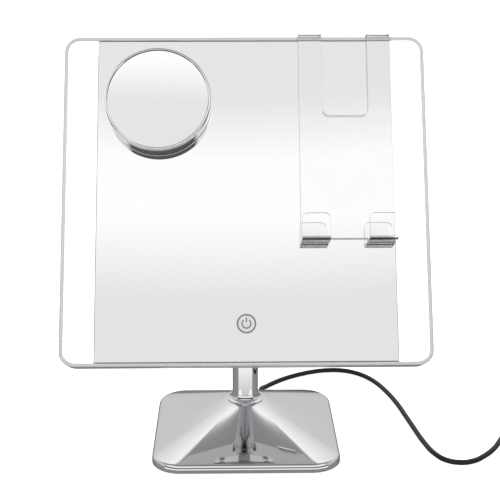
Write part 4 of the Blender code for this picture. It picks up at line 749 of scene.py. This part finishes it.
FORK_SLOT = 0.015
FORK_DEPTH = 0.016
FORK_FLOOR = 0.0095           # slot floor below the tilt axis
SPIGOT_RADIUS = 0.008
HEAD_CHAMFER = 0.0015
PIN_RADIUS = 0.003
EAR_SEAT = 0.0107


def make_fork():
    lo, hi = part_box("swivel_head")
    axis_z = TILT_AXIS.z
    radius = hi.x
    seat = JOINTS["panel_swivel"]["pos_m"][2]
    floor = axis_z - FORK_FLOOR
    bore = 0.003
    groove = seat - 0.0165
    profile = [(bore, lo.z), (SPIGOT_RADIUS - 0.0005, lo.z), (SPIGOT_RADIUS, lo.z + 0.0005),
               (SPIGOT_RADIUS, groove - 0.0016), (SPIGOT_RADIUS - 0.001, groove - 0.0016),
               (SPIGOT_RADIUS - 0.001, groove), (SPIGOT_RADIUS, groove), (SPIGOT_RADIUS, seat),
               (radius - 0.0003, seat), (radius, seat + 0.0003), (radius, floor - 0.0003),
               (radius - 0.0003, floor), (bore, floor)]
    head = lathe("tilt_fork", profile, 96, ring=True)
    ears = lathe("fork_ears", [(0.0, floor - 0.0006), (radius - 0.0001, floor - 0.0006),
                               (radius - 0.0001, hi.z - HEAD_CHAMFER), (radius - HEAD_CHAMFER, hi.z),
                               (0.0, hi.z)], 96)
    # Two ears with round tops: a bar with one end rounded is kept, then the slot is milled through.
    bar = block("ear_bar", (-0.02, -0.5 * FORK_DEPTH, floor - 0.002), (0.02, 0.5 * FORK_DEPTH, hi.z))
    rounded(bar, 0.5 * FORK_DEPTH - 0.00005, 16,
            lambda edge: runs(edge, 0) and at(middle(edge).z, hi.z))
    cut(ears, bar, "INTERSECT")
    cut(ears, block("ear_slot", (-0.5 * FORK_SLOT, -0.02, floor - 0.004),
                    (0.5 * FORK_SLOT, 0.02, hi.z + 0.002)))
    cut(ears, rod("pin_hole", TILT_AXIS, PIN_RADIUS + GAP, 0.04, 0))
    for side in (-1, 1):
        place = TILT_AXIS + Vector((side * (EAR_SEAT + 0.005), 0.0, 0.0))
        cut(ears, rod("ear_seat", place, 0.0051, 0.010, 0))
    softened(ears, 0.0002, 2, 50)
    cut(head, ears, "UNION")
    hand_in(head, "head", "chrome_plate", ["swivel_head"], bright_chrome)

    lo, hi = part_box("hinge_pin")
    head_radius = hi.y
    seat_x = EAR_SEAT + GAP
    profile = [(0.0, hi.x), (PIN_RADIUS - GAP, hi.x), (PIN_RADIUS, hi.x - GAP), (PIN_RADIUS, -seat_x),
               (head_radius, -seat_x), (head_radius, lo.x + 0.0009), (head_radius - 0.0002, lo.x + 0.0005),
               (head_radius - 0.0007, lo.x + 0.0001), (head_radius - 0.0011, lo.x), (0.0, lo.x)]
    pin = lathe("hinge_screw", profile, 64, axis="X", place=(0.0, 0.0, TILT_AXIS.z))
    socket = rod("socket", (lo.x, 0.0, TILT_AXIS.z), 0.0019, 0.0026, 0, 6)
    cut(pin, socket)
    hand_in(pin, "head", "zinc_steel", ["hinge_pin"], zinc_steel)
    lo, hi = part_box("hinge_nut")
    end = hi.x
    start = lo.x
    top = hi.y
    inner = PIN_RADIUS + GAP
    profile = [(0.0, end - 0.0008), (inner, end - 0.0008), (inner, start), (top, start), (top, end - 0.0014),
               (top - 0.0003, end - 0.0008), (top - 0.0010, end - 0.0002), (top - 0.0020, end), (0.0, end)]
    nut = lathe("domed_hinge_nut", profile, 64, axis="X", place=(0.0, 0.0, TILT_AXIS.z))
    hand_in(nut, "head", "zinc_steel", ["hinge_nut"], zinc_steel)
    for hand in ("left", "right"):
        lo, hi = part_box(f"friction_washer_{hand}")
        ease = 0.0001
        profile = [(inner, lo.x), (hi.y - ease, lo.x), (hi.y, lo.x + ease), (hi.y, hi.x - ease),
                   (hi.y - ease, hi.x), (inner, hi.x)]
        washer = lathe(f"nylon_washer_{hand}", profile, 64, ring=True, axis="X",
                       place=(0.0, 0.0, TILT_AXIS.z))
        hand_in(washer, "head", "white_nylon", [f"friction_washer_{hand}"], nylon)


make_stem()
make_fork()


# ---------------------------------------------------------------- panel

PANEL_CORNER = 0.013
BEZEL_FACE = 0.0033
COVER_WALL = 0.0022
COVER_ROUND = 0.005
SCREW_RADIUS = 0.0015


def screw_places(kind):
    """Middle of each screw's shank in the upright panel."""
    places = []
    for number in range(1, 5):
        lo, hi = panel_box(f"{kind}_screw_{number}")
        places.append(0.5 * (lo + hi))
    return places


def silver_faces(piece):
    """Silver on the front and back of an upright mirror, ground glass round its edge."""
    piece.data.materials.append(silvered_glass)
    piece.data.materials.append(glass_edge)
    for face in piece.data.polygons:
        face.material_index = 0 if abs(face.normal.y) > 0.6 else 1


def make_panel():
    lo, hi = panel_box("front_bezel")
    bezel = slab("lacquered_bezel", lo, hi, PANEL_CORNER, 1, 18)
    pick(bezel, "FACE", lambda face: abs(face.normal.y) > 0.9)
    bpy.ops.mesh.inset(thickness=BEZEL_FACE, use_individual=True, use_even_offset=True)
    bpy.ops.mesh.delete(type="FACE")
    pick(bezel, "EDGE", lambda edge: edge.is_boundary)
    bpy.ops.mesh.bridge_edge_loops()
    bpy.ops.mesh.select_all(action="SELECT")
    bpy.ops.mesh.normals_make_consistent(inside=False)
    object_mode()
    softened(bezel, 0.0009, 5, 60)
    hand_in(bezel, "panel", "silver_abs", ["front_bezel"], silver_lacquer, move=LAID_BACK)

    lo, hi = panel_box("rear_cover")
    cover = slab("moulded_rear_cover", lo, hi, PANEL_CORNER, 1, 18)
    rounded(cover, COVER_ROUND, 7, lambda edge: all(at(vert.co.y, hi.y) for vert in edge.verts))
    pick(cover, "FACE", lambda face: all(at(vert.co.y, lo.y) for vert in face.verts))
    bpy.ops.mesh.delete(type="FACE")
    object_mode()
    modified(cover, "SOLIDIFY", thickness=COVER_WALL, offset=-1.0, use_even_offset=True)
    places = screw_places("cover") + screw_places("bracket")
    holes = [rod("hole", (place.x, hi.y, place.z), SCREW_RADIUS + GAP, 0.01) for place in places]
    cut(cover, joined("cover_holes", holes))
    hand_in(cover, "panel", "silver_abs", ["rear_cover"], silver_cover, angle=30, move=LAID_BACK)

    # The mirror: its face is silvered, its ground edges show green glass.
    lo, hi = panel_box("mirror_glass")
    glass = softened(block("silvered_mirror", lo, hi), 0.0004, 2)
    silver_faces(glass)
    hand_in(glass, "panel", "silvered_glass", ["mirror_glass"], silvered_glass, glass_edge, move=LAID_BACK)

    for hand, side in (("left", -1), ("right", 1)):
        lo, hi = panel_box(f"light_diffuser_{hand}")
        outer = hi.x if side > 0 else lo.x
        strip = rounded(block(f"lit_strip_{hand}", lo, hi), PANEL_CORNER - BEZEL_FACE - GAP, 14,
                        lambda edge, outer=outer: runs(edge, 1) and at(middle(edge).x, outer))
        softened(strip, 0.0003, 2)
        hand_in(strip, "panel", "frosted_acrylic", [f"light_diffuser_{hand}"], lit_acrylic, move=LAID_BACK)


def make_touch_symbol():
    """A ring and the usual power sign, fired on the mirror over the touch pad."""
    lo, hi = panel_box("touch_pad")
    centre = 0.5 * (lo + hi)
    glass_front = panel_box("mirror_glass")[0].y
    thick = 0.00006
    place = Vector((centre.x, glass_front, centre.z))
    window = lathe("touch_window", [(0.0, 0.0), (0.0068, 0.0), (0.0068, thick), (0.0, thick)], 96,
                   axis="-Y", place=place)
    # The window's pale tone is partly painted light, standing for the light from behind it.
    hand_in(window, "panel", "silvered_glass", [], etched_window_painted_light, move=LAID_BACK)
    ring = lathe("touch_ring", [(0.0067, 0.0), (0.0080, 0.0), (0.0080, 2 * thick), (0.0067, 2 * thick)], 96,
                 ring=True, axis="-Y", place=place)
    radius, line = 0.0036, 0.00105
    top = glass_front - 2 * thick
    bar = slab("power_bar", (centre.x - 0.5 * line, top, centre.z + 0.0012),
               (centre.x + 0.5 * line, glass_front - thick, centre.z + 0.0050), 0.45 * line, 1, 5)
    # The sign's arc: a small square of the line's width, spun most of the way round.
    gap_angle = math.radians(38)
    bow = block("power_arc", (-0.5 * line, top, radius - 0.5 * line), (0.5 * line, glass_front - thick,
                                                                     radius + 0.5 * line))
    pick(bow, "VERT", lambda vert: vert.co.x > 0)
    bpy.ops.mesh.delete(type="VERT")
    pick(bow, "EDGE", lambda edge: True)
    for vert in bmesh.from_edit_mesh(bow.data).verts:
        vert.co.x = 0.0
    bmesh.update_edit_mesh(bow.data)
    bpy.ops.mesh.spin(steps=60, angle=4 * QUARTER - 2 * gap_angle, center=(0, 0, 0), axis=(0, 1, 0))
    bpy.ops.mesh.select_all(action="SELECT")
    bpy.ops.mesh.remove_doubles(threshold=0.000001)
    pick(bow, "EDGE", lambda edge: edge.is_boundary)
    bpy.ops.mesh.edge_face_add()
    bpy.ops.mesh.select_all(action="SELECT")
    bpy.ops.mesh.normals_make_consistent(inside=False)
    object_mode()
    settled(bow, Matrix.Translation((centre.x, 0.0, centre.z)) @ Matrix.Rotation(-gap_angle, 4, "Y"))
    sign = joined("touch_symbol", [ring, bar, bow])
    hand_in(sign, "panel", "silvered_glass", [], symbol_ink, move=LAID_BACK)


def make_bracket():
    """The hinge plate behind the panel, with its lug, and every screw on the back."""
    lo, hi = panel_box("hinge_bracket")
    seat = panel_box("rear_cover")[1].y + GAP
    plate_back = seat + 0.0026
    plate = slab("hinge_plate", (lo.x, seat, lo.z), (hi.x, plate_back, hi.z), 0.004, 1, 8)
    lug_half = 0.5 * (FORK_SLOT - 2 * (0.0009 + 2 * GAP))
    lug_radius = 0.0075
    # The lug: a round eye about the pin, on a foot that widens down to the plate.
    lug = rod("lug", (0.0, 0.0, 0.0), lug_radius, 2 * lug_half, 0, 64)
    foot = block("lug_foot", (-lug_half, seat + 0.0013, -1.25 * lug_radius),
                 (lug_half, 0.0, 1.25 * lug_radius))
    pick(foot, "VERT", lambda vert: at(vert.co.y, 0.0))
    bpy.ops.transform.resize(value=(1.0, 1.0, 0.78))
    object_mode()
    cut(lug, foot, "UNION")
    cut(lug, rod("pin_hole", (0.0, 0.0, 0.0), PIN_RADIUS + GAP, 0.04, 0))
    places = screw_places("bracket")
    cut(plate, joined("holes", [rod("hole", (p.x, seat, p.z), SCREW_RADIUS + GAP, 0.02) for p in places]))
    sealed(cut(plate, lug, "UNION"))
    softened(plate, 0.0003, 2, 50)
    hand_in(plate, "panel", "satin_steel", ["hinge_bracket"], brushed_steel, move=LAID_BACK)

    # One pan-head screw with a cross recess, copied to every place.
    head, height = 0.003, 0.0016
    lo, hi = panel_box("cover_screw_1")
    profile = [(0.0, -(hi.y - lo.y) + height), (SCREW_RADIUS, -(hi.y - lo.y) + height), (SCREW_RADIUS, 0.0),
               (head, 0.0), (head, 0.45 * height), (0.93 * head, 0.75 * height),
               (0.72 * head, 0.93 * height),
               (0.4 * head, height), (0.0, height)]
    screw = lathe("screw", profile, 40, axis="Y")
    for turn in (0.0, QUARTER):
        blade = block("blade", (-0.00034, 0.42 * height, -0.0017), (0.00034, 2 * height, 0.0017))
        cut(screw, settled(blade, Matrix.Rotation(turn, 4, "Y")))
    for kind in ("cover", "bracket"):
        for number, place in enumerate(screw_places(kind), 1):
            top = panel_box(f"{kind}_screw_{number}")[1].y
            length = top - panel_box(f"{kind}_screw_{number}")[0].y
            twin = copied(screw, f"{kind}_cross_screw_{number}")
            for vert in twin.data.vertices:
                if vert.co.y < -0.001:
                    vert.co.y = height - length
            turn = Matrix.Rotation(0.7 * number, 4, "Y")
            spot = Matrix.Translation((place.x, top - height, place.z)) @ turn
            hand_in(twin, "panel", "zinc_steel", [f"{kind}_screw_{number}"], zinc_steel,
                    move=LAID_BACK @ spot)
    bpy.data.objects.remove(screw)


# ---------------------------------------------------------------- magnifier and phone cradle

def make_magnifier():
    lo, hi = panel_box("magnifier_housing")
    centre = 0.5 * (lo + hi)
    radius = 0.5 * (hi.x - lo.x)
    front, back = -lo.y, -hi.y
    lens_lo, lens_hi = panel_box("magnifier_glass")
    lens_back = -lens_hi.y
    ledge = lens_back - GAP
    seat = 0.5 * (lens_hi.x - lens_lo.x) + GAP
    inside = seat - 0.0025
    cup_lo, cup_hi = panel_box("suction_cup_1")
    web_back = -cup_lo.y + GAP
    web_front = web_back + 0.0025
    skin = radius - 0.002
    ease = 0.0006
    bead = radius - seat - 0.0006
    lip = arc((radius - bead, front - bead), bead, 90, 0, 10)
    foot = arc((radius - ease, back + ease), ease, 0, -90, 4)
    profile = [(0.0, web_front), (inside, web_front), (inside, ledge), (seat, ledge), (seat, front - 0.0003),
               (seat + 0.0003, front)] + lip + foot + [(skin, back), (skin, web_back), (0.0, web_back)]
    place = (centre.x, 0.0, centre.z)
    housing = lathe("plated_magnifier_rim", profile, 128, axis="-Y", place=place)
    hand_in(housing, "magnifier", "chrome_plate", ["magnifier_housing"], bright_chrome, move=LAID_BACK)

    # The magnifying mirror: its face is a shallow hollow.
    lens_radius = seat - GAP
    lens_edge = -lens_lo.y
    dish = 0.0011
    profile = [(lens_radius * i / 16, lens_edge - dish * (1 - (i / 16) ** 2)) for i in range(16)]
    profile += [(lens_radius - 0.0003, lens_edge), (lens_radius, lens_edge - 0.0003),
                (lens_radius, lens_back),
                (0.0, lens_back)]
    lens = lathe("hollow_magnifying_mirror", profile, 128, axis="-Y", place=place)
    silver_faces(lens)
    hand_in(lens, "magnifier", "silvered_glass", ["magnifier_glass"], silvered_glass, glass_edge,
            move=LAID_BACK)

    low, top = -cup_hi.y, -cup_lo.y
    skirt = 0.5 * (cup_hi.x - cup_lo.x)
    neck = top - 0.0028
    bell = [(0.0, top), (0.005, top), (0.005, neck + 0.0004), (0.0054, neck)]
    bell += [(0.0054 + (skirt - 0.0054) * i / 8, neck - (neck - low - 0.0011) * (i / 8) ** 1.4)
             for i in range(1, 9)]
    bell += [(skirt, low), (skirt - 0.0011, low)]
    bell += [(0.004 + (skirt - 0.0051) * i / 8, neck - 0.0011 - (neck - 0.0011 - low) * (i / 8) ** 1.4)
             for i in range(7, -1, -1)]
    bell += [(0.0, neck - 0.0013)]
    cup = lathe("cup", bell, 48, axis="-Y")
    for number in range(1, 4):
        cup_lo, cup_hi = panel_box(f"suction_cup_{number}")
        spot = Matrix.Translation((0.5 * (cup_lo.x + cup_hi.x), 0.0, 0.5 * (cup_lo.z + cup_hi.z)))
        hand_in(copied(cup, f"vinyl_suction_cup_{number}"), "magnifier", "clear_vinyl",
                [f"suction_cup_{number}"], clear_vinyl, move=LAID_BACK @ spot)
    bpy.data.objects.remove(cup)


CRADLE_SHEET = 0.0025
CRADLE_BEND = 0.003           # to the middle of the sheet
STRAP_WIDTH = 0.0198
STRAP_LENGTH = 0.072
CRADLE_HOOK = 0.016
CRADLE_LIP = 0.022
LIP_WIDTH = 0.0231
PLATE_STANDOFF = 0.0005


def bend_edge(piece, y, z):
    """Bends what is selected a quarter turn round a line along X, backwards over the top."""
    bpy.ops.mesh.spin(steps=8, angle=QUARTER, center=(0.0, y, z), axis=(1.0, 0.0, 0.0))


def push_edge(y, z):
    bpy.ops.mesh.extrude_region_move(TRANSFORM_OT_translate={"value": (0.0, y, z)})


def make_cradle():
    """One sheet of acrylic: cut flat, then bent over the panel's top and up at its lips."""
    lo, hi = panel_box("phone_cradle")
    half = 0.5 * CRADLE_SHEET
    centre = 0.5 * (lo.x + hi.x)
    plate = panel_box("front_bezel")[0].y - PLATE_STANDOFF - half
    leg = hi.y - half
    top = hi.z - half
    shelf = lo.z + half
    lip = lo.y + half
    bend_low, bend_high = shelf + CRADLE_BEND, top - CRADLE_BEND
    start_new()
    bpy.ops.mesh.primitive_plane_add(size=1.0, location=(centre, plate, 0.5 * (bend_low + bend_high)),
                                     rotation=(QUARTER, 0.0, 0.0))
    cradle = named("acrylic_phone_cradle")
    cradle.scale = (hi.x - lo.x, bend_high - bend_low, 1.0)
    settled(cradle)
    inner = 0.5 * (hi.x - lo.x) - STRAP_WIDTH
    notch = top - STRAP_LENGTH
    pick(cradle, "FACE", lambda face: True)
    for spot, way in (((centre - inner, 0, 0), (1, 0, 0)), ((centre + inner, 0, 0), (1, 0, 0)),
                      ((0, 0, notch), (0, 0, 1))):
        bpy.ops.mesh.select_all(action="SELECT")
        bpy.ops.mesh.bisect(plane_co=spot, plane_no=way)
    pick(cradle, "FACE", lambda face: abs(middle(face).x - centre) < inner and middle(face).z > notch)
    bpy.ops.mesh.delete(type="FACE")
    bpy.ops.mesh.select_all(action="SELECT")
    bpy.ops.mesh.dissolve_limited(angle_limit=0.01)
    pick(cradle, "VERT", lambda vert: at(vert.co.z, notch) and at(abs(vert.co.x - centre), inner))
    bpy.ops.mesh.bevel(offset=0.006, segments=10, affect="VERTICES")
    split = 0.5 * (hi.x - lo.x) - LIP_WIDTH
    for side in (-1, 1):
        bpy.ops.mesh.select_all(action="SELECT")
        bpy.ops.mesh.bisect(plane_co=(centre + side * split, 0, 0), plane_no=(1, 0, 0))
    pick(cradle, "EDGE", lambda edge: at(middle(edge).z, bend_high) and runs(edge, 0))
    bend_edge(cradle, plate + CRADLE_BEND, bend_high)
    push_edge(leg - plate - 2 * CRADLE_BEND, 0.0)
    bend_edge(cradle, leg - CRADLE_BEND, bend_high)
    push_edge(0.0, CRADLE_BEND - CRADLE_HOOK)
    pick(cradle, "EDGE", lambda edge: (at(middle(edge).z, bend_low) and at(middle(edge).y, plate)
                                       and runs(edge, 0) and abs(middle(edge).x - centre) > split))
    bend_edge(cradle, plate - CRADLE_BEND, bend_low)
    push_edge(lip - plate + 2 * CRADLE_BEND, 0.0)
    bend_edge(cradle, lip + CRADLE_BEND, bend_low)
    push_edge(0.0, lo.z + CRADLE_LIP - bend_low)
    pick(cradle, "VERT", lambda vert: at(vert.co.z, lo.z + CRADLE_LIP) and at(vert.co.y, lip))
    bpy.ops.mesh.bevel(offset=0.0045, segments=10, affect="VERTICES")
    pick(cradle, "VERT", lambda vert: at(vert.co.z, top - CRADLE_HOOK) and at(vert.co.y, leg))
    bpy.ops.mesh.bevel(offset=0.004, segments=8, affect="VERTICES")
    closed_up()
    cradle.data.materials.append(clear_acrylic)
    cradle.data.materials.append(acrylic_edge_painted_shade)
    # The sheet's rim takes the edge finish, whose grey is painted shade.
    modified(cradle, "SOLIDIFY", thickness=CRADLE_SHEET, offset=0.0, use_even_offset=True,
             material_offset_rim=1)
    softened(cradle, 0.0003, 2, 50)
    hand_in(cradle, "cradle", "clear_acrylic", ["phone_cradle"], clear_acrylic, acrylic_edge_painted_shade, angle=30,
            move=LAID_BACK)


make_panel()
make_touch_symbol()
make_bracket()
make_magnifier()
make_cradle()


# ---------------------------------------------------------------- inner parts that keep their CAD shape

KEPT = {
    cast_iron: ["base_weight"],
    zinc_steel: [f"bottom_screw_{number}" for number in range(1, 5)]
                + ["stem_stud", "stud_washer", "stud_nut", "swivel_retaining_ring", "touch_pad"],
    grey_pvc: ["stem_lead", "led_harness", "panel_lead"],
    black_abs: ["chassis"],
    white_abs: ["light_tray_left", "light_tray_right"],
    board_finish: ["led_board_left", "led_board_right", "control_board"],
}
for finish, nodes in KEPT.items():
    for node in nodes:
        inner_part = frame["nodes"][node]
        for slot in inner_part.material_slots:
            slot.material = finish

object_mode()
